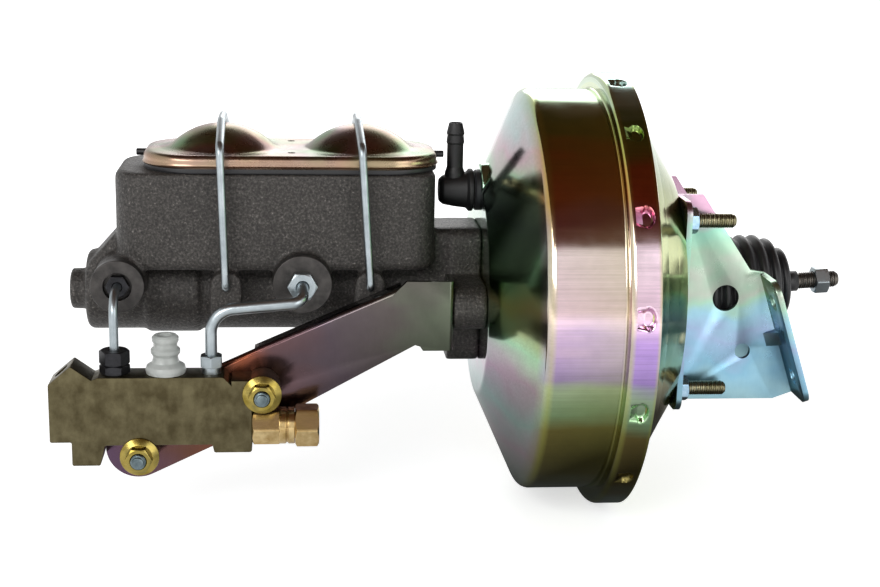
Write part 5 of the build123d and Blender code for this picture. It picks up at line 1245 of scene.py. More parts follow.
@dataclass
class BoosterShells(Assembly):
    """The two pressed shells with their studs and nuts."""

    sheet: float = 1.8
    drum_r: float = 114.3
    rim_r: float = 123.48
    rim_rear_x: float = -27.0
    rim_step_x: float = -42.5
    rim_step_r: float = 3.6
    rim_slices: int = 22
    drum_edge_x: float = -81.0
    front_x: float = -106.0
    front_flat_r: float = 60.0
    pilot_r: float = 18.4
    lance_count: int = 15
    lance_start: float = 6.0
    lance_shift: float = 1.2
    lance_width: float = 4.2
    lance_half_length: float = 6.2
    lance_depth: float = 3.1
    neck_r: float = 25.6
    neck_length: float = 12.0
    rear_flat_r: float = 71.0
    check_z: float = 57.0
    stud_y: float = 42.0
    stud_z: float = 47.8
    stud_r: float = 4.0
    stud_tip_x: float = 31.5
    bracket_t: float = 3.0
    nut_flats: float = 13.0
    nut_height: float = 6.8

    def drum(self) -> None:
        """Nose, cone and drum of the front shell."""
        mid = self.sheet / 2
        path = [
            (self.front_x + mid, self.pilot_r, 0.0), (self.front_x + mid, self.front_flat_r, 8.0),
            (self.drum_edge_x, self.drum_r - mid, 5.0),
            (self.rim_step_x + mid, self.drum_r - mid, 2.0),
            (self.rim_step_x + mid, self.drum_r + self.rim_step_r, 0.0),
        ]
        shape = Shape().lathe(Bench(), sheet_section(path, self.sheet, 5.0), True, 288)
        shape.shade_film(
            lambda p: max(
                nearness(p.x, self.drum_edge_x + 0.6, 3.2) if hypot(p.y, p.z) > 100 else 0.0,
                nearness(p.x, self.rim_step_x, 3.0),
            )
            ** 0.7
        )
        pad = [(9.0, 11.0, 0.0), (-0.02, 11.0, 0.4), (-0.02, 15.0, 1.6), (10.0, 15.6, 0.0)]
        shape.turn(at(Way.ALONG, self.front_x, 0, self.check_z), pad, 64, True, 12.0)
        self.hand_over(shape, "front_shell_drum", Slot.SHELL, "front_shell")

    def rim(self) -> None:
        """Flared rim of the front shell, with the lances that lock the rear shell."""
        mid = self.sheet / 2
        start = self.rim_step_x + 7.2
        slices = [k / self.rim_slices for k in range(self.rim_slices + 1)]
        path = [
            (self.rim_step_x + mid, self.drum_r + self.rim_step_r, 0.0),
            (self.rim_step_x + mid, self.rim_r - mid, 6.0),
        ] + [(start + (self.rim_rear_x - start) * s, self.rim_r - mid, 0.0) for s in slices]
        shape = Shape().lathe(Bench(), sheet_section(path, self.sheet, 12.0), True, 1080)
        shape.shade_film(
            lambda p: max(
                nearness(p.x, self.rim_step_x + 1.0, 2.2), nearness(p.x, self.rim_rear_x, 1.6)
            )
            ** 0.8
        )
        material = self.finishes.of(Slot.SHELL)
        stock = taken(shape.finish("rim_stock", material))
        sizes = {
            "Count": float(self.lance_count), "Start": radians(self.lance_start),
            "Place": ((self.rim_step_x + self.rim_rear_x) / 2 + self.lance_shift) * MM,
            "Width": self.lance_width * MM, "Half Length": self.lance_half_length * MM,
            "Depth": self.lance_depth * MM, "Rim": (self.rim_r - mid) * MM,
        }
        piece = dress("front_shell_rim", LanceTool(material).run(stock, sizes), material, 40.0)
        settle(piece, Body.HOUSING, Slot.SHELL)

    def rear(self) -> None:
        """Rear shell with its bead, slope, mounting face and boot neck."""
        mid = self.sheet / 2
        flange = self.rim_step_x + self.sheet + 2.2 + mid
        path = [
            (self.neck_length, self.neck_r - mid, 0.0), (-mid, self.neck_r - mid, 2.0),
            (-mid, self.rear_flat_r, 3.0), (-9.0, 83.5, 12.0), (-18.0, 98.0, 12.0),
            (self.rim_rear_x + 1.0, 112.1, 3.0), (flange, 114.0, 1.5), (flange, 119.0, 0.0),
        ]
        shape = Shape().lathe(Bench(), sheet_section(path, self.sheet, 6.0), True, 256)
        bead = [
            (self.rim_rear_x - 4.0, 113.0, 0.0), (self.rim_rear_x + 1.4, 113.0, 1.2),
            (self.rim_rear_x + 1.4, 121.2, 2.2), (self.rim_rear_x - 4.0, 121.2, 0.0),
        ]
        shape.turn(Bench(), bead, 256, True, 15.0)
        shape.shade_film(lambda p: nearness(hypot(p.y, p.z), 117.0, 5.0) if p.x > -34 else 0.0)
        finish = self.finishes.rear_shell
        self.hand_over(shape, "rear_shell_dressed", Slot.SHELL, "rear_shell", finish=finish)

    def fasteners(self) -> None:
        """Four studs with rolled threads through the rear face, and their nuts."""
        studs = Shape()
        nuts = Shape()
        head = [
            (-5.3, 0.0, 0.0), (-5.3, 6.0, 0.6), (-1.8, 6.0, 0.0), (-1.8, 3.9, 0.0), (8.0, 3.9, 0.0),
            (8.0, 0.0, 0.0),
        ]
        end = self.stud_tip_x
        tip = round_corners([(end - 1.2, 3.45, 0.0), (end, 2.7, 0.3), (end, 0.0, 0.0)], False)
        for y in (-self.stud_y, self.stud_y):
            for z in (-self.stud_z, self.stud_z):
                studs.turn(at(Way.ALONG, 0, y, z), head, 32)
                self.thread.cut(studs, at(Way.REAR_TURNED, 7.0, y, z), self.stud_r, end - 7.9)
                studs.lathe(at(Way.ALONG, 0, y, z), [Vector((end - 1.3, 0, 0))] + tip, False, 32)
                seat = at(Way.REAR_TURNED, self.bracket_t, y, z)
                nuts.hex_nut(seat, self.nut_flats, self.nut_height, self.stud_r + THREAD_GAP)
        thread, blued = self.finishes.stud_thread, self.finishes.blued_zinc
        self.hand_over(studs, "rear_stud_set", Slot.FASTENER, "rear_studs", finish=thread)
        self.hand_over(nuts, "rear_nut_set", Slot.FASTENER, "rear_nuts", NUT_SHARP, blued)

    def build(self) -> None:
        """Build every piece of the shells."""
        self.drum()
        self.rim()
        self.rear()
        self.fasteners()


@dataclass
class PushRodEnd(Assembly):
    """Push rod with its lock nut, and the bellows boot over it."""

    ball_x: float = 12.0
    tilt: float = 3.25
    ball_r: float = 5.5
    rod_r: float = 4.3
    neck_r: float = 3.6
    thread_r: float = 4.76
    length: float = 95.5
    thread_length: float = 24.0
    nut_flats: float = 14.3
    nut_height: float = 8.3
    nut_from_tip: float = 6.4
    boot_r: float = 29.5
    boot_t: float = 1.6
    pitch: float = 7.5
    valley_r: float = 25.2
    full_ridges: int = 6
    last_ridges: tuple[Pair, ...] = ((27.5, 20.4), (21.8, 15.0))
    fold_r: float = 1.5
    shell_neck_r: float = 25.6

    @property
    def axis(self) -> Triple:
        """Direction of the push rod."""
        return (cos(radians(self.tilt)), 0.0, sin(radians(self.tilt)))

    def origin(self, reach: float = 0.0) -> Triple:
        """Place on the rod at a distance from its ball."""
        return (self.ball_x + reach * self.axis[0], 0, reach * self.axis[2])

    def rod(self) -> None:
        """Rod with its ball end, its threaded end and the lock nut."""
        start = self.length - self.thread_length
        along = Bench(self.origin(), self.axis, (0, -1, 0))
        shape = Shape()
        body = [
            (0.0, 0.0, 0.0), (0.0, self.neck_r, 0.0), (9.0, self.neck_r, 0.4),
            (10.0, self.rod_r, 0.4), (start, self.rod_r, 0.4), (start + 0.4, 4.2, 0.0),
            (start + 2.0, 4.2, 0.0), (start + 2.0, 0.0, 0.0),
        ]
        shape.turn(along, body, 40)
        angles = [pi * k / 24 for k in range(25)]
        ball = [Vector((-self.ball_r * cos(a), self.ball_r * sin(a), 0)) for a in angles]
        shape.lathe(along, ball, False, 48)
        base = Bench(self.origin(start + 0.3), (0, 1, 0), self.axis)
        self.thread.cut(shape, base, self.thread_r, self.thread_length - 1.5)
        tip = [
            (self.length - 1.6, 0.0, 0.0), (self.length - 1.6, 4.3, 0.0), (self.length, 3.4, 0.4),
            (self.length, 0.0, 0.0),
        ]
        shape.turn(along, tip, 40)
        dark = self.finishes.dark_rod
        self.hand_over(shape, "push_rod", Slot.ZINC, "input_rod", finish=dark, body=Body.ROD)
        foot = self.origin(self.length - self.nut_from_tip - self.nut_height)
        seat = Bench(foot, (0, 1, 0), self.axis)
        bore = self.thread_r + THREAD_GAP
        nut = Shape().hex_nut(seat, self.nut_flats, self.nut_height, bore)
        self.hand_over(nut, "push_rod_lock_nut", Slot.ZINC, "rod_jam_nut", NUT_SHARP, body=Body.ROD)

    def boot(self) -> None:
        """Bellows boot that grips the shell's neck and the push rod."""
        mid = self.boot_t / 2
        grip = self.shell_neck_r + 1.3 + mid
        path: list[Triple] = [(-9.4, grip, 0.0), (1.2, grip, 1.0)]
        along = 4.4
        folds = [(self.boot_r, self.valley_r - mid)] * self.full_ridges
        folds += [(top, bottom + 1.6) for top, bottom in self.last_ridges]
        for top, bottom in folds:
            path.append((along, bottom, self.fold_r))
            path.append((along + self.pitch / 2, top - mid, self.fold_r))
            along += self.pitch
        lip = self.rod_r + mid + 0.05
        path += [(along, lip + 1.2, 1.0), (along + 1.2, lip, 1.0), (along + 6.4, lip, 0.0)]
        axis = Bench(self.origin(), self.axis, (0, -1, 0))
        shape = Shape().lathe(axis, sheet_section(path, self.boot_t, 14.0), True, 120)
        piece = shape.finish("bellows_boot", self.finishes.of(Slot.RUBBER), 70.0)
        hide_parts("boot")
        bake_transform(piece)
        LOG.info("%s: %d faces", piece.name, len(piece.data.polygons))

    def build(self) -> None:
        """Build the rod, its nut and the boot."""
        self.rod()
        self.boot()


@dataclass
class FirewallBrackets(Assembly):
    """The two stamped brackets between the booster and the firewall."""

    def build(self) -> None:
        """Build the brackets with broken edges."""
        plated = self.finishes.of(Slot.BRACKET)
        for side in ("near", "far"):
            node = f"{side}_firewall_bracket"
            piece = softened(node, f"{side}_bracket_pressing", plated)
            settle(piece, Body.HOUSING, Slot.BRACKET, [node])


# ---------------------------------------------------------------- the master cylinder


@dataclass
class MasterCylinder(Assembly):
    """Sand-cast body with its machined ports, stud nuts and bail lugs."""

    front_x: float = -106.0
    flange_t: float = 18.1
    stud_half: float = 42.9
    ear_r: float = 12.5
    flange_half_z: float = 38.2
    flange_half_y: float = 22.0
    barrel_r: float = 22.4
    barrel_end: float = -324.0
    nose_r: float = 11.4
    nose_length: float = 9.6
    tank_x0: float = -306.0
    tank_x1: float = -133.0
    tank_half_y: float = 38.0
    tank_z0: float = 18.0
    tank_z1: float = 71.0
    band_x0: float = -291.0
    band_x1: float = -262.0
    band_r: float = 24.2
    left_port: Pair = (-303.7, 11.0)
    left_port_r: float = 14.4
    left_face_y: float = -44.0
    right_port: Pair = (-205.4, 13.0)
    right_port_r: float = 16.0
    right_face_y: float = -48.0
    lug_z: float = 10.5
    lug_r: float = 8.6
    lug_t: float = 8.0
    lug_face: float = 43.0
    lug_xs: Pair = (-246.3, -168.7)
    voxel: float = 1.25
    spacer_t: float = 3.2
    nut_flats: float = 14.3
    nut_height: float = 8.5
    stud_r: float = 4.76

    def round_stock(self, flange_x: float) -> Shape:
        """Barrel and port bosses of the casting.

        Args:
            flange_x: Front face of the flange.

        Returns:
            The turned parts.
        """
        end = self.barrel_end
        barrel = [
            (end - self.nose_length, 0.0, 0.0), (end - self.nose_length, self.nose_r, 1.6),
            (end, self.nose_r, 2.0), (end, self.barrel_r, 3.5), (self.band_x0, self.barrel_r, 0.0),
            (self.band_x0, self.band_r, 0.8), (self.band_x1, self.band_r, 0.8),
            (self.band_x1, self.barrel_r, 0.0), (flange_x + 4.0, self.barrel_r, 0.0),
            (flange_x + 4.0, 0.0, 0.0),
        ]
        shape = Shape().turn(Bench(), barrel, 96)
        for (x, z), radius, face in (
            (self.left_port, self.left_port_r, self.left_face_y),
            (self.right_port, self.right_port_r, self.right_face_y),
        ):
            reach = -face - 21.0
            boss = [(-1.0, 0, 0), (-1.0, radius, 0), (reach, radius - 0.2, 1.0), (reach, 0, 0)]
            shape.turn(at(Way.NEAR_AXIS, x, -16.0, z), boss, 72)
        return shape

    def casting(self) -> None:
        """Whole outside of the casting as one soft cast form."""
        flange_x = self.front_x - self.flange_t
        end = self.barrel_end
        shape = self.round_stock(flange_x)
        x0, x1, y, z0 = self.tank_x0, self.tank_x1, self.tank_half_y, self.tank_z0
        tank = rectangle((x0, -y), (x1, y), 20.0, 12.0, 12.0, 20.0)
        land = rectangle((x0 + 5.5, -y), (x1, y), 18.0, 12.0, 12.0, 18.0)
        shape.block(at(Way.UP, z=z0), tank, self.tank_z1 - z0, 4.0)
        shape.block(at(Way.UP, z=z0 + 20.0), land, self.tank_z1 - (z0 + 20.0), 0.6)
        web = [
            (end + 2.0, 0.0, 2.0), (end + 2.0, 18.0, 4.0), (x0, 36.0, 4.0), (x0 + 8.0, 36.0, 0.0),
            (x0 + 8.0, 20.0, 0.0), (x1 - 4.0, 20.0, 0.0), (x1 - 4.0, 0.0, 0.0),
        ]
        shape.block(at(Way.ALONG, 0, 18.0, 0), web, 36.0, 2.0)
        for half_y, half_z, corner in (
            (self.flange_half_y, self.flange_half_z, 8.0),
            (self.stud_half + self.ear_r, self.ear_r, self.ear_r - 0.1),
        ):
            ear = rectangle((-half_y, -half_z), (half_y, half_z), corner)
            shape.block(at(Way.REAR, flange_x), ear, self.flange_t, 0.8)
        neck = rectangle((-20.0, -30.0), (20.0, 30.0), 6.0)
        shape.block(at(Way.REAR, x1 - 6.0, 0, 8.0), neck, flange_x - x1 + 8.0, 0.5)
        for x in self.lug_xs:
            for side in (-1.0, 1.0):
                low = (-self.lug_r, -self.lug_r * side)
                corner = self.lug_r - 0.1
                lug = rectangle(low, (self.lug_r, 16.0 * side), corner, corner, 0.0, 0.0)
                foot = (x, side * (self.lug_face - self.lug_t), self.lug_z)
                shape.block(Bench(foot, (1, 0, 0), (0, side, 0)), lug, self.lug_t, 0.8)
        material = self.finishes.of(Slot.CASTING)
        rough = shape.finish("casting_stock", material)
        remesh = rough.modifiers.new("one_skin", "REMESH")
        remesh.mode = "VOXEL"
        remesh.voxel_size = self.voxel * MM
        remesh.adaptivity = 0.0
        smooth = rough.modifiers.new("soft_blends", "SMOOTH")
        smooth.factor = 0.5
        smooth.iterations = 5
        piece = dress("master_casting", taken(rough), material, 60.0)
        settle(piece, Body.HOUSING, Slot.CASTING, ["master_body"])

    def port_faces(self) -> None:
        """Machined rings on the two port bosses."""
        shape = Shape()
        for (x, z), radius, face, bore, sink in (
            (self.left_port, self.left_port_r, self.left_face_y, 7.6, 4.6),
            (self.right_port, self.right_port_r, self.right_face_y, 5.62, 6.0),
        ):
            ring = [
                (0.0, bore, 0.25), (-sink, bore, 0.0), (-sink, 3.0, 0.0), (-sink - 4.0, 3.0, 0.0),
                (-sink - 4.0, radius - 0.4, 0.0), (-6.0, radius - 0.05, 0.0),
                (0.0, radius - 0.05, 0.7),
            ]
            shape.turn(at(Way.NEAR_AXIS, x, face, z), ring, 96, True, 15.0)
        iron = self.finishes.machined_iron
        self.hand_over(shape, "machined_port_faces", Slot.CASTING, finish=iron)

    def studs(self) -> None:
        """Two studs and nuts that hold the casting to the booster."""
        flange_x = self.front_x - self.flange_t
        head, shank_r = self.front_x + 4.3, self.stud_r - 0.1
        tip = flange_x - self.spacer_t - self.nut_height - 4.0
        studs = Shape()
        nuts = Shape()
        for y, under in ((-self.stud_half, self.spacer_t), (self.stud_half, 0.0)):
            seat = flange_x - under
            shank = [
                (self.front_x + 7.8, 0.0, 0.0), (self.front_x + 7.8, 7.0, 0.4), (head, 7.0, 0.0),
                (head, shank_r, 0.0), (seat - 1.0, shank_r, 0.0), (seat - 1.0, 0.0, 0.0),
            ]
            studs.turn(at(Way.ALONG, 0, y), shank, 36)
            start = at(Way.NOSE, seat - 0.5, y)
            self.thread.cut(studs, start, self.stud_r, seat - 0.5 - tip - 0.9, 1.3)
            end = [(tip + 1.4, 0.0, 0.0), (tip + 1.4, 4.1, 0.0), (tip, 3.3, 0.3), (tip, 0.0, 0.0)]
            studs.turn(at(Way.ALONG, 0, y), end, 36)
            bore = self.stud_r + THREAD_GAP
            nuts.hex_nut(at(Way.NOSE, seat, y), self.nut_flats, self.nut_height, bore)
        self.hand_over(studs, "front_stud_pair", Slot.ZINC, "front_studs")
        self.hand_over(nuts, "master_nut_pair", Slot.ZINC, "master_nuts", NUT_SHARP)

    def build(self) -> None:
        """Build the casting and what is machined on it."""
        self.casting()
        self.port_faces()
        self.studs()


@dataclass
class ReservoirTop(Assembly):
    """Pressed cover with two domes, its rubber seal and the two wire bails."""

    centre_x: float = -211.2
    length: float = 160.0
    half_y: float = 37.5
    corner_r: float = 28.0
    sheet: float = 1.2
    flat_z: float = 80.6
    dome_offset: float = 37.7
    dome_r: float = 39.2
    dome_centre_z: float = 54.5
    dome_blend: float = 4.0
    edge_r: float = 3.2
    skirt: tuple[Pair, ...] = ((0.9, 0.02), (2.2, 0.1), (2.6, 0.45), (2.9, 0.8))
    rows: int = 72
    columns: int = 132
    vent_r: float = 2.2
    vent_y: float = 23.0
    tank_top: float = 71.0
    seal_t: float = 3.2
    tab_r: float = 1.9
    tab_z: float = 77.3
    tab_reach: float = 4.9
    wire_r: float = 2.2
    leg_y: float = 46.5
    lug_z: float = 10.5
    shoulder: float = 76.0
    crown: float = 86.0
    crown_half: float = 13.0
    pin_depth: float = 7.5
    bail_xs: Pair = (-246.3, -168.7)
    leans: Pair = (1.8, 4.0)

    def inset(self, x: float, y: float) -> float:
        """Distance of a point from the cover's edge, measured inward."""
        qx = abs(x) - (self.length / 2 - self.corner_r)
        qy = abs(y) - (self.half_y - self.corner_r)
        return self.corner_r - hypot(max(qx, 0.0), max(qy, 0.0)) - min(max(qx, qy), 0.0)

    def height(self, x: float, y: float) -> float:
        """Height of the cover's top.

        Args:
            x: Place along the cover, from its centre.
            y: Place across it.

        Returns:
            Height in the part's frame.
        """
        z = self.flat_z
        base_r = sqrt(self.dome_r**2 - (self.flat_z - self.dome_centre_z) ** 2)
        k = self.dome_blend * 0.45
        for side in (-1.0, 1.0):
            reach = hypot(x - side * self.dome_offset, y)
            if reach < base_r + self.dome_blend:
                dome = self.dome_centre_z + sqrt(max(self.dome_r**2 - reach**2, 0.0))
                gap = dome - self.flat_z
                z = max(z, self.flat_z + (gap + sqrt(gap * gap + k * k)) / 2 - k * 0.02)
        depth = self.inset(x, y)
        if depth < self.edge_r:
            short = self.edge_r - max(depth, 0.0)
            z -= self.edge_r - sqrt(max(self.edge_r**2 - short**2, 0.0))
        return z

    def spacing(self, half: float, count: int) -> list[float]:
        """Steps that crowd together near both ends.

        Args:
            half: Half the distance to be stepped.
            count: Number of inner steps, about.

        Returns:
            Places from -half to half.
        """
        shares = [-1 + 2 * i / count for i in range(count + 1)]
        steps = [half * (0.72 * t + 0.28 * sin(t * pi / 2)) for t in shares]
        near = [half - self.edge_r * (1 - cos(radians(a))) for a in (0, 18, 32, 46, 60, 75, 90)]
        inner = [s for s in steps if abs(s) < half - self.edge_r - 0.6]
        return sorted([-n for n in near] + inner + near)

    def outward(self, x: float, y: float) -> Vector:
        """Direction away from the cover at a point of its edge, from its centre."""
        long, wide = self.length / 2 - self.corner_r, self.half_y - self.corner_r
        away = Vector((x - max(min(x, long), -long), y - max(min(y, wide), -wide), 0.0))
        return away.normalized() if away.length > 1e-6 else Vector((0, 0, 0))

    def cover(self) -> None:
        """Pressed cover, as one sheet with rolled edge and vents."""
        half = self.length / 2
        points: list[Vector] = []
        lines = self.spacing(self.half_y, self.rows)
        for y in lines:
            over = max(abs(y) - (self.half_y - self.corner_r), 0.0)
            reach = half - self.corner_r + sqrt(max(self.corner_r**2 - over**2, 0.0))
            steps = [c * reach / half for c in self.spacing(half, self.columns)]
            points += [Vector((self.centre_x + c, y, self.height(c, y))) for c in steps]
        last = len(lines) - 1
        width = len(points) // len(lines)
        corners = [r * width + c for r in range(last) for c in range(width - 1)]
        faces = [[i, i + 1, i + width + 1, i + width] for i in corners]
        border = (
            list(range(width))
            + [r * width + width - 1 for r in range(1, last)]
            + [last * width + c for c in range(width - 1, -1, -1)]
            + [r * width for r in range(last - 1, 0, -1)]
        )
        wall = [points[i].copy() for i in border]
        turns = [(k, (k + 1) % len(border)) for k in range(len(border))]
        previous = border
        for drop, out in self.skirt:
            now = list(range(len(points), len(points) + len(border)))
            low = self.flat_z - self.edge_r - drop
            points += [
                Vector((p.x, p.y, low)) + self.outward(p.x - self.centre_x, p.y) * out for p in wall
            ]
            faces += [[previous[k], previous[n], now[n], now[k]] for k, n in turns]
            previous = now
        shape = Shape().put(at(Way.UP), points, faces)
        shape.shade_film(lambda p: max(0.0, min(1.0, (self.flat_z - p.z - 0.4) / 2.0)))
        drill = Shape()
        for y in (-self.vent_y, self.vent_y):
            pin = [(-8.0, 0, 0), (-8.0, self.vent_r, 0), (8.0, self.vent_r, 0), (8.0, 0, 0)]
            drill.turn(at(Way.UP_AXIS, self.centre_x, y, self.flat_z), pin, 32)
        material = self.finishes.of(Slot.COVER)
        piece = drilled("pressed_cover", shape, drill, material, 40.0, self.sheet)
        settle(piece, Body.HOUSING, Slot.COVER, ["reservoir_cover"])

    def gasket(self) -> None:
        """Rubber seal under the cover with a pull tab at each end."""
        x, half = self.centre_x, self.length / 2
        corners = rectangle((x - half, -self.half_y), (x + half, self.half_y), self.corner_r)
        outline = round_corners(corners, True, 6.0)
        shape = Shape().plate(at(Way.UP, z=self.tank_top), [outline], self.seal_t, 0.7)
        reach = half + self.tab_reach
        tab = [(-reach, 0, 0), (-reach, self.tab_r, 0.5), (reach, self.tab_r, 0.5), (reach, 0, 0)]
        shape.turn(at(Way.ALONG, x, 0, self.tab_z), tab, 24)
        self.hand_over(shape, "cover_seal", Slot.RUBBER, "cover_gasket")

    def bails(self) -> None:
        """Two sprung wire bails over the domes."""
        pin = self.leg_y - self.pin_depth
        half = [
            (pin, 0.0, 0.0), (self.leg_y, 0.0, 3.2), (self.leg_y, self.shoulder, 6.0),
            (self.crown_half, self.crown, 8.0),
        ]
        path = [(-y, z, r) for y, z, r in half] + half[::-1]
        for x, lean, body, node in zip(
            self.bail_xs, self.leans, (Body.FRONT_BAIL, Body.REAR_BAIL), ("front_bail", "rear_bail")
        ):
            facing = (cos(radians(lean)), 0, sin(radians(lean)))
            matrix = Bench((x, 0, self.lug_z), (0, 1, 0), facing).matrix()
            line = [matrix @ p for p in round_corners(path, False, 8.0)]
            wire = Shape().tube(line, self.wire_r, 20)
            self.hand_over(wire, f"{node}_wire", Slot.ZINC, node, 50.0, body=body)

    def build(self) -> None:
        """Build the cover, the seal and the bails."""
        self.cover()
        self.gasket()
        self.bails()


# ---------------------------------------------------------------- lines and valve


@dataclass
class BrakeLines(Assembly):
    """The two hard lines between the master cylinder and the valve, with their nuts."""

    mid_y: float = -65.0
    left_port: Pair = (-303.7, 11.0)
    right_port: Pair = (-205.4, 13.0)
    front_r: float = 2.38
    rear_r: float = 3.18
    bore_gap: float = 0.05
    valve_top: float = -30.3
    rear_x: float = -253.4
    knee_z: float = 7.5
    run_z: float = 3.2

    def lines(self) -> None:
        """Both lines."""
        (left, left_z), (right, right_z) = self.left_port, self.right_port
        mid = self.mid_y
        front = [
            (left, -35.0, left_z, 0.0), (left, mid, left_z, 12.0),
            (left, mid, self.valve_top - 4.0, 0.0),
        ]
        rear = [
            (right, -40.0, right_z, 0.0), (right, -54.2, right_z, 8.0),
            (right, mid, self.knee_z, 7.5), (self.rear_x, mid, self.run_z, 13.0),
            (self.rear_x, mid, self.valve_top - 5.0, 0.0),
        ]
        for side, path, radius in (("front", front, self.front_r), ("rear", rear, self.rear_r)):
            shape = Shape().tube(round_corners(path, False, 6.0), radius, 24)
            self.hand_over(shape, f"{side}_line_tube", Slot.ZINC, f"{side}_brake_line", 50.0)

    def flare_nut(
        self, shape: Shape, bench: Bench, size: Pair, bore: float, neck: Pair | None = None
    ) -> None:
        """Hexagon nut, with a plain threaded neck behind it where one is given.

        Args:
            shape: Shape that gets the nut.
            bench: Plane that the hexagon stands on.
            size: Width across flats and height.
            bore: Radius of the bore.
            neck: Radius and depth of the neck.
        """
        shape.hex_nut(bench, *size, bore)
        if neck:
            radius, depth = neck
            outline = [(-depth, 0, 0), (-depth, radius, 0.5), (0.2, radius, 0), (0.2, 0, 0)]
            shape.turn(Bench(bench.origin, bench.z_dir, bench.x_dir), outline, 40)

    def nuts(self) -> None:
        """Flare nuts at the four line ends, and the adapter in the valve."""
        (left, left_z), (right, right_z) = self.left_port, self.right_port
        mid, top, down = self.mid_y, self.valve_top, self.rear_x
        thin, thick = self.front_r + self.bore_gap, self.rear_r + self.bore_gap
        black, adapter, bright = Shape(), Shape(), Shape()
        for shape, bench, size, bore, neck in (
            (black, at(Way.ALONG, left, -39.5, left_z), (11.0, 5.2), thin, (4.8, 4.5)),
            (black, at(Way.UP, left, mid, -25.1), (14.0, 7.6), thin, None),
            (adapter, at(Way.UP, left, mid, top + 0.1), (14.0, 5.0), 0.0, (6.5, 9.0)),
            (bright, at(Way.ALONG, right, -48.1, right_z), (14.0, 5.6), thick, (5.6, 7.0)),
            (bright, at(Way.UP_TURNED, down, mid, top + 3.4), (11.0, 6.4), thick, (5.0, 8.6)),
        ):
            self.flare_nut(shape, bench, size, bore, neck)
        for shape, name, slot, node in (
            (black, "front_line_nut_pair", Slot.BLACK_STEEL, "front_line_nuts"),
            (adapter, "front_adapter", Slot.BLACK_STEEL, "front_line_adapter"),
            (bright, "rear_line_nut_pair", Slot.ZINC, "rear_line_nuts"),
        ):
            self.hand_over(shape, name, slot, node, NUT_SHARP)

    def build(self) -> None:
        """Build the lines and their nuts."""
        self.lines()
        self.nuts()


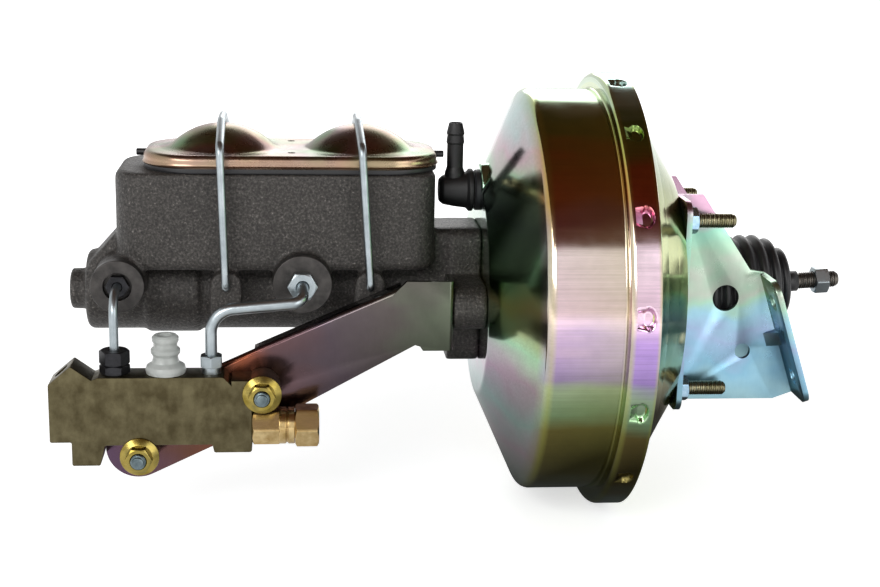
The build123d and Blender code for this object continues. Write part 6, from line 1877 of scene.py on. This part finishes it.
@dataclass
class CombinationValve(Assembly):
    """Brass valve with its bolts, warning switch and proportioning fitting."""

    back_y: float = -55.5
    depth: float = 19.0
    left_x: float = -337.18
    right_x: float = -232.2
    top_z: float = -30.3
    left_bottom_z: float = -65.5
    bottom_z: float = -67.3
    port_bottom_z: float = -71.8
    leg_x0: float = -326.0
    leg_x1: float = -311.4
    leg_z: float = -78.4
    peak: Pair = (-325.5, -24.0)
    shoulder_z: float = -34.0
    notch: Pair = (-315.0, -31.6)
    bore_z: float = -59.4
    bore_shift_y: float = -1.6
    upper_bolt: Pair = (-226.7, -39.8)
    lower_bolt: Pair = (-291.0, -73.4)
    ear_r: float = 9.4
    edge: float = 0.45
    bolt_r: float = 4.0
    head_back: float = 8.2
    flange_r: float = 10.3
    flange_t: float = 2.2
    nut_flats: float = 12.7
    nut_height: float = 8.5
    outlet_x: float = -243.0
    outlet_r: float = 4.35
    switch_x: float = -277.2
    fitting_flats: float = 18.0
    fitting_hex: float = 15.2
    neck_r: float = 9.9
    neck_t: float = 7.4
    cap_flats: float = 20.4
    cap_t: float = 12.8

    @property
    def mid_y(self) -> float:
        """Middle of the valve from front to back."""
        return self.back_y - self.depth / 2

    def outline(self) -> list[Triple]:
        """Front outline of the block with its small corner rounds."""
        return [
            (self.left_x, self.left_bottom_z, 1.0), (self.leg_x0, self.left_bottom_z, 0.8),
            (self.leg_x0, self.leg_z, 1.0), (self.leg_x1, self.leg_z, 1.0),
            (self.leg_x1 + 2.6, self.bottom_z, 1.2), (self.outlet_x - 10.0, self.bottom_z, 1.0),
            (self.outlet_x - 9.0, self.port_bottom_z, 1.0), (self.right_x, self.port_bottom_z, 1.4),
            (self.right_x, -46.0, 2.0), (self.right_x - 14.8, self.top_z, 2.0),
            (self.notch[0] + 3.3, self.top_z, 1.0), (self.notch[0], self.notch[1], 1.0),
            (self.peak[0], self.peak[1], 1.0), (self.left_x, self.shoulder_z, 1.2),
        ]

    def block(self) -> None:
        """Sawn brass block with its two bolt ears and its ports."""
        back = at(Way.ALONG, 0, self.back_y, 0)
        front = round_corners(self.outline(), True, 15.0)
        shape = Shape().plate(back, [front], self.depth, self.edge)
        x, z = self.upper_bolt
        bridge = rectangle((x - 16.0, z - 7.4), (x - 6.0, z + 7.4), 0.0)
        for bolt in (self.upper_bolt, self.lower_bolt):
            hole = circle_points(self.bolt_r + 0.4, bolt, 32)
            shape.plate(back, [circle_points(self.ear_r, bolt, 64), hole], self.depth, self.edge)
            if bolt == self.upper_bolt:
                shape.block(back, bridge, self.depth - 0.05, 0.3)
        drill = Shape()
        peak_x, peak_z = self.peak
        rise = peak_z - self.shoulder_z
        run = peak_x - self.left_x
        middle = ((peak_x + self.left_x) / 2, self.mid_y, (peak_z + self.shoulder_z) / 2)
        for bench, deep in (
            (Bench(middle, (rise, 0, -run), (0, -1, 0)), 9.0),
            (at(Way.UP_AXIS, self.outlet_x, self.mid_y, self.port_bottom_z), 5.4),
        ):
            r = self.outlet_r
            drill.turn(bench, [(-2.0, 0, 0), (-2.0, r, 0), (deep, r, 0), (deep, 0, 0)], 40)
        piece = drilled("valve_block_brass", shape, drill, self.finishes.of(Slot.BRASS), 28.0)
        settle(piece, Body.HOUSING, Slot.BRASS, ["valve_block"])

    def arm(self) -> None:
        """Stamped arm that carries the valve."""
        piece = softened("valve_bracket", "valve_arm_pressing", self.finishes.arm)
        settle(piece, Body.HOUSING, Slot.BRACKET, ["valve_bracket"])

    def bolts(self) -> None:
        """Two bolts through the block with flange nuts on the near side."""
        bolts = Shape()
        nuts = Shape()
        front_y = self.back_y - self.depth
        head_y = self.back_y + self.head_back
        inner_r = self.bolt_r + 0.5
        shank = [(0.0, 0.0, 0.0), (0.0, 3.9, 0.0), (30.0, 3.9, 0.0), (30.0, 0.0, 0.0)]
        tip = [(37.0, 0.0, 0.0), (37.0, 3.5, 0.0), (38.6, 2.9, 0.4), (38.6, 0.0, 0.0)]
        collar = [
            (0.0, inner_r, 0.0), (0.0, self.flange_r, 0.3), (0.9, self.flange_r, 0.4),
            (self.flange_t + 0.6, self.flange_r - 3.2, 0.6), (self.flange_t + 0.6, inner_r, 0.0),
        ]
        for x, z in (self.upper_bolt, self.lower_bolt):
            bolts.hex_nut(at(Way.ALONG, x, head_y, z), self.nut_flats, 5.0)
            bolts.turn(at(Way.NEAR_AXIS, x, head_y, z), shank, 32)
            self.thread.cut(bolts, at(Way.ALONG, x, head_y - 28.0, z), self.bolt_r, 9.9)
            bolts.turn(at(Way.NEAR_AXIS, x, head_y, z), tip, 32)
            seat = at(Way.ALONG, x, front_y, z)
            nuts.hex_nut(seat, self.nut_flats, self.nut_height, self.bolt_r + THREAD_GAP)
            nuts.turn(at(Way.NEAR_AXIS, x, front_y, z), collar, 72, True)
        grey = self.finishes.bolt_end
        self.hand_over(bolts, "valve_bolt_pair", Slot.BLACK_STEEL, "valve_bolts", NUT_SHARP, grey)
        self.hand_over(nuts, "valve_flange_nut_pair", Slot.FASTENER, "valve_flange_nuts", NUT_SHARP)

    def switch(self) -> None:
        """Natural plastic warning switch on the block's top."""
        outline = [
            (-11.0, 1.22, 0.0), (-11.0, 5.0, 0.4), (0.1, 5.0, 0.0), (0.1, 10.2, 0.5),
            (2.2, 10.6, 1.0), (4.4, 10.0, 0.8), (6.2, 7.2, 1.2), (9.4, 6.4, 1.0), (11.2, 7.7, 0.6),
            (13.0, 7.7, 0.6), (14.6, 6.2, 0.6), (16.2, 6.2, 0.6), (17.8, 7.0, 0.6),
            (19.6, 7.0, 0.6), (20.8, 5.8, 0.4), (20.8, 3.4, 0.3), (10.0, 3.4, 0.0),
            (10.0, 1.22, 0.0),
        ]
        foot = at(Way.UP_AXIS, self.switch_x, self.mid_y, self.top_z)
        shape = Shape().turn(foot, outline, 72, True, 15.0)
        self.hand_over(shape, "warning_switch", Slot.NATURAL, "pressure_switch", 40.0)

    def fitting(self) -> None:
        """Bright brass proportioning fitting with its hexagon cap."""
        bore_y = self.mid_y + self.bore_shift_y
        seat = at(Way.REAR, self.right_x + 0.1, bore_y, self.bore_z)
        shape = Shape().hex_nut(seat, self.fitting_flats, self.fitting_hex - 0.1)
        neck = self.right_x + self.fitting_hex
        turned = [
            (self.right_x - 6.0, 0.0, 0.0), (self.right_x - 6.0, 5.98, 0.0),
            (neck - 1.0, 5.98, 0.0), (neck - 1.0, self.neck_r, 0.5), (neck + 2.6, self.neck_r, 0.4),
            (neck + 3.0, self.neck_r - 0.7, 0.2), (neck + 3.6, self.neck_r - 0.7, 0.2),
            (neck + 4.0, self.neck_r, 0.4), (neck + self.neck_t, self.neck_r, 0.5),
            (neck + self.neck_t, 7.0, 0.0), (neck + self.neck_t + 7.0, 7.0, 0.0),
            (neck + self.neck_t + 7.0, 0.0, 0.0),
        ]
        shape.turn(at(Way.ALONG, 0, bore_y, self.bore_z), turned, 72)
        start = at(Way.REAR, neck + self.neck_t + 0.1, bore_y, self.bore_z)
        cap = Shape().hex_nut(start, self.cap_flats, self.cap_t, 3.0)
        for piece, name, node in (
            (shape, "proportioning_fitting", "proportioning_plug"),
            (cap, "proportioning_hex_cap", "proportioning_cap"),
        ):
            self.hand_over(piece, name, Slot.BRASS, node, NUT_SHARP, self.finishes.bright_brass)

    def build(self) -> None:
        """Build the valve and all that is fixed to it."""
        self.block()
        self.arm()
        self.bolts()
        self.switch()
        self.fitting()


@dataclass
class CheckValve(Assembly):
    """Black plastic elbow with its vacuum nipple, in a rubber grommet."""

    z: float = 57.0
    nipple_x: float = -119.7
    nipple_r: float = 4.6
    barb_r: float = 5.1
    top_z: float = 95.0

    def build(self) -> None:
        """Build the elbow."""
        body = [
            (-96.0, 0.0, 0.0), (-96.0, 7.6, 0.6), (-98.6, 8.5, 0.5), (-100.0, 7.5, 0.4),
            (-109.6, 7.5, 0.0), (-109.6, 12.0, 0.6), (-111.8, 12.0, 0.6), (-113.4, 10.2, 1.0),
            (-120.0, 9.4, 3.0), (-126.4, 8.2, 2.5), (-128.7, 6.2, 1.6), (-128.7, 0.0, 0.0),
        ]
        shape = Shape().turn(at(Way.ALONG, 0, 0, self.z), body, 72, step=12.0)
        top = self.top_z - self.z
        nipple = [
            (2.0, 0.0, 0.0), (2.0, 6.2, 0.0), (10.0, 5.6, 3.0), (13.0, self.nipple_r, 2.0),
            (26.0, self.nipple_r, 0.2), (27.0, self.barb_r, 0.3), (31.0, self.nipple_r, 0.2),
            (32.0, self.barb_r, 0.3), (36.0, self.nipple_r - 0.4, 0.2),
            (top, self.nipple_r - 0.9, 0.4), (top, 2.9, 0.2), (top - 14.0, 2.9, 0.0),
            (top - 14.0, 0.0, 0.0),
        ]
        shape.turn(at(Way.UP_AXIS, self.nipple_x, 0, self.z), nipple, 48, step=12.0)
        self.hand_over(shape, "vacuum_elbow", Slot.PLASTIC, "check_valve", 40.0, body=Body.ELBOW)


@dataclass
class KeptNodes(Assembly):
    """CAD nodes that are shown as they are, with the finishes of their slots."""

    def build(self) -> None:
        """Give every CAD node the material of its record slot."""
        rows = {row["node"]: row["material_slot"] for row in frame["record"]["subparts"]}
        for node, thing in frame["nodes"].items():
            for place in thing.material_slots:
                place.material = self.finishes.of(Slot(rows[node]))
        LOG.info("kept nodes: %d", len(rows))


# ---------------------------------------------------------------- the studio


@dataclass
class Studio:
    """Floor, lamps, dark ceiling card and the camera at the photograph's angle.

    The eye is in millimetres and everything else here in metres and radians.
    """

    floor_z: float
    eye: Triple = (-212.1, -849.57, 204.08)
    turn: float = 0.100472
    dip: float = 0.238374
    roll: float = 0.0225206
    lens: float = 62.68
    centre_x: float = -0.13
    shade_lift: float = 0.0002
    ceiling_z: float = 1.15
    air_strength: float = 0.34

    def camera(self) -> None:
        """Camera where the photograph was taken."""
        data = bpy.data.cameras.new("photo_camera")
        data.sensor_fit = "HORIZONTAL"
        data.sensor_width = 36.0
        data.lens = self.lens
        data.clip_start = 0.01
        data.clip_end = 50.0
        data.dof.use_dof = False
        flat = cos(self.dip)
        ahead = Vector((sin(self.turn) * flat, cos(self.turn) * flat, -sin(self.dip)))
        right = Vector((cos(self.turn), -sin(self.turn), 0.0))
        up = right.cross(ahead)
        right_r = right * cos(self.roll) + up * sin(self.roll)
        up_r = up * cos(self.roll) - right * sin(self.roll)
        matrix = Matrix((right_r, up_r, -ahead)).transposed().to_4x4()
        matrix.translation = Vector(self.eye) * MM
        camera = linked("photo_camera", data)
        camera.matrix_world = matrix
        bpy.context.scene.camera = camera

    def plane(self, name: str, centre: Triple, size: Pair, up: float, material: Any) -> Any:
        """Flat card in the studio, facing up or down.

        Args:
            name: Name of the card.
            centre: Place of its centre.
            size: Size along X and Y.
            up: One where it faces up, and minus one where it faces down.
            material: Material of the card.

        Returns:
            The card.
        """
        mesh = bpy.data.meshes.new(name)
        half_x, half_y = size[0] / 2, size[1] / 2 * up
        turns = ((-1, -1), (1, -1), (1, 1), (-1, 1))
        spots = [(centre[0] + a * half_x, centre[1] + b * half_y, centre[2]) for a, b in turns]
        mesh.from_pydata(spots, [], [(0, 1, 2, 3)])
        mesh.materials.append(material)
        card = linked(name, mesh)
        card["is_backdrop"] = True
        return card

    def away(self, tree: Any, x_mid: float) -> Any:
        """Distance over the floor.

        Args:
            tree: Tree of the material.
            x_mid: Place on the booster's axis that it is measured from.

        Returns:
            Socket of the distance in metres.
        """
        x = calc(tree, "SUBTRACT", place_along(tree, 0), x_mid)
        y = place_along(tree, 1)
        square = calc(tree, "ADD", calc(tree, "MULTIPLY", x, x), calc(tree, "MULTIPLY", y, y))
        return calc(tree, "SQRT", square)

    def seen(self, tree: Any) -> Any:
        """One for rays from the camera and for rays that come by way of metal or glass."""
        path = add_node(tree, "ShaderNodeLightPath").outputs
        direct = calc(tree, "MAXIMUM", path["Is Camera Ray"], path["Is Glossy Ray"])
        return calc(tree, "MAXIMUM", direct, path["Is Transmission Ray"])

    def mixed(self, tree: Any, share: Any, first: Any, second: Any, output: str) -> None:
        """Mix two shaders and end the tree with them."""
        ends = {0: share, 1: first.outputs[0], 2: second.outputs[0]}
        mix = add_node(tree, "ShaderNodeMixShader", ends)
        add_node(tree, output, {"Surface": mix.outputs[0]})

    def cloth(self, tree: Any, size_mm: float, colour: str) -> Any:
        """Matt dark weave of one colour."""
        tone = ramp(tree, grain(tree, (size_mm,) * 3, 1.0), ((0.3, colour), (0.7, colour)))
        return add_node(tree, "ShaderNodeBsdfDiffuse", {"Color": tone})

    def paper(self, name: str, colour: str) -> Any:
        """Matt floor paper that shows as white to the camera and in reflections.

        It glows less near the part, so that the part's shadow stays on it.

        Args:
            name: Name of the material.
            colour: sRGB colour of the paper.

        Returns:
            The material.
        """
        material, tree = blank_material(name)
        tone = spread(tree, grain(tree, (300.0, 300.0, 300.0)), 0.3, 0.7, 0.985, 1.0)
        base = blend_colour(tree, 1.0, linear(colour), tone, "MULTIPLY")
        diffuse = add_node(tree, "ShaderNodeBsdfDiffuse", {"Color": base})
        glow = spread(tree, self.away(tree, -0.12), 0.3, 1.1, 0.60, 1.0)
        light = {"Color": linear("#FFFFFF"), "Strength": glow}
        light = add_node(tree, "ShaderNodeEmission", light).outputs[0]
        both = add_node(tree, "ShaderNodeAddShader", {0: diffuse.outputs[0], 1: light})
        self.mixed(tree, self.seen(tree), diffuse, both, "ShaderNodeOutputMaterial")
        return material

    def painted_floor_shade(self, name: str, colour: str) -> Any:
        """Painted shade: a dark sheet under the part, seen only in reflections, that thins out away
        from it.

        Args:
            name: Name of the material.
            colour: sRGB colour of the painted shade.

        Returns:
            The material.
        """
        material, tree = blank_material(name)
        thin = spread(tree, self.away(tree, 0.02), 0.10, 0.32, 0.96, 0.0)
        clear = add_node(tree, "ShaderNodeBsdfTransparent")
        dark_shade = self.cloth(tree, 90.0, colour)
        self.mixed(tree, thin, clear, dark_shade, "ShaderNodeOutputMaterial")
        return material

    def card(self, name: str, colour: str) -> Any:
        """Matt dark card for reflections.

        Args:
            name: Name of the material.
            colour: sRGB colour of the card.

        Returns:
            The material.
        """
        material, tree = blank_material(name)
        surface = self.cloth(tree, 400.0, colour).outputs[0]
        add_node(tree, "ShaderNodeOutputMaterial", {"Surface": surface})
        return material

    def lamp(self, name: str, place: Triple, aim_x: float, size: Pair, watts: float) -> None:
        """Soft white rectangular lamp, aimed at a place on the booster's axis.

        Args:
            name: Name of the lamp.
            place: Place of the lamp.
            aim_x: Place on the axis that it points to.
            size: Width and height.
            watts: Power.
        """
        data = bpy.data.lights.new(name, "AREA")
        data.shape = "RECTANGLE"
        data.size, data.size_y = size
        data.energy = watts
        lamp = linked(name, data)
        lamp.location = place
        direction = Vector((aim_x, 0, 0)) - Vector(place)
        lamp.rotation_euler = direction.to_track_quat("-Z", "Y").to_euler()

    def world(self) -> None:
        """Pale world that is white to the camera and dimmer as light."""
        world = bpy.data.worlds.new("studio_air")
        bpy.context.scene.world = world
        world.use_nodes = True
        tree = world.node_tree
        tree.nodes.clear()
        air, white = (
            add_node(tree, "ShaderNodeBackground", {"Color": linear(colour), "Strength": strength})
            for colour, strength in (("#F4F5F6", self.air_strength), ("#FFFFFF", 1.0))
        )
        self.mixed(tree, self.seen(tree), air, white, "ShaderNodeOutputWorld")

    def build(self) -> None:
        """Set up everything around the part."""
        self.camera()
        self.world()
        x, z = self.centre_x, self.floor_z
        paper = self.paper("floor_paper", "#F0F0F0")
        self.plane("floor", (x, 0.0, z), (14.0, 14.0), 1.0, paper)
        for card in (
            # painted shade of the floor under the part: a dark sheet that only reflections see
            self.plane(
                "reflected_floor_shade", (x, 0.0, z + self.shade_lift), (1.6, 1.6), 1.0,
                self.painted_floor_shade("reflected_floor_shade", "#16120C"),
            ),
            self.plane(
                "ceiling_card", (x + 0.2, -0.17, self.ceiling_z), (2.6, 3.04), -1.0,
                self.card("dark_card", "#6A4C3A"),
            ),
        ):
            card.visible_camera = False
            card.visible_shadow = False
            card.visible_diffuse = False
        self.lamp("key", (-1.2, -1.7, 1.0), -0.13, (1.4, 1.0), 27.0)
        self.lamp("fill", (1.2, -1.9, 0.6), -0.1, (1.2, 1.4), 12.0)
        self.lamp("back", (0.4, 1.9, 0.9), -0.1, (1.8, 1.0), 14.0)
        bpy.context.scene.view_settings.view_transform = "Standard"


def main() -> None:
    """Build every sub-assembly in order, then the studio around them."""
    logging.basicConfig(level=logging.INFO, format="%(name)s %(message)s")
    cad_box = [[float(c) for c in corner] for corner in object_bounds()]
    finishes = Finishes()
    thread = ThreadTool(finishes.of(Slot.ZINC))
    for kind in (
        KeptNodes, BoosterShells, PushRodEnd, FirewallBrackets, MasterCylinder, ReservoirTop,
        BrakeLines, CombinationValve, CheckValve,
    ):
        kind(finishes, thread).build()
    Studio(floor_z=cad_box[0][2] - 0.0005).build()
    LOG.info("cad box %s", cad_box)


if __name__ == "__main__":
    main()
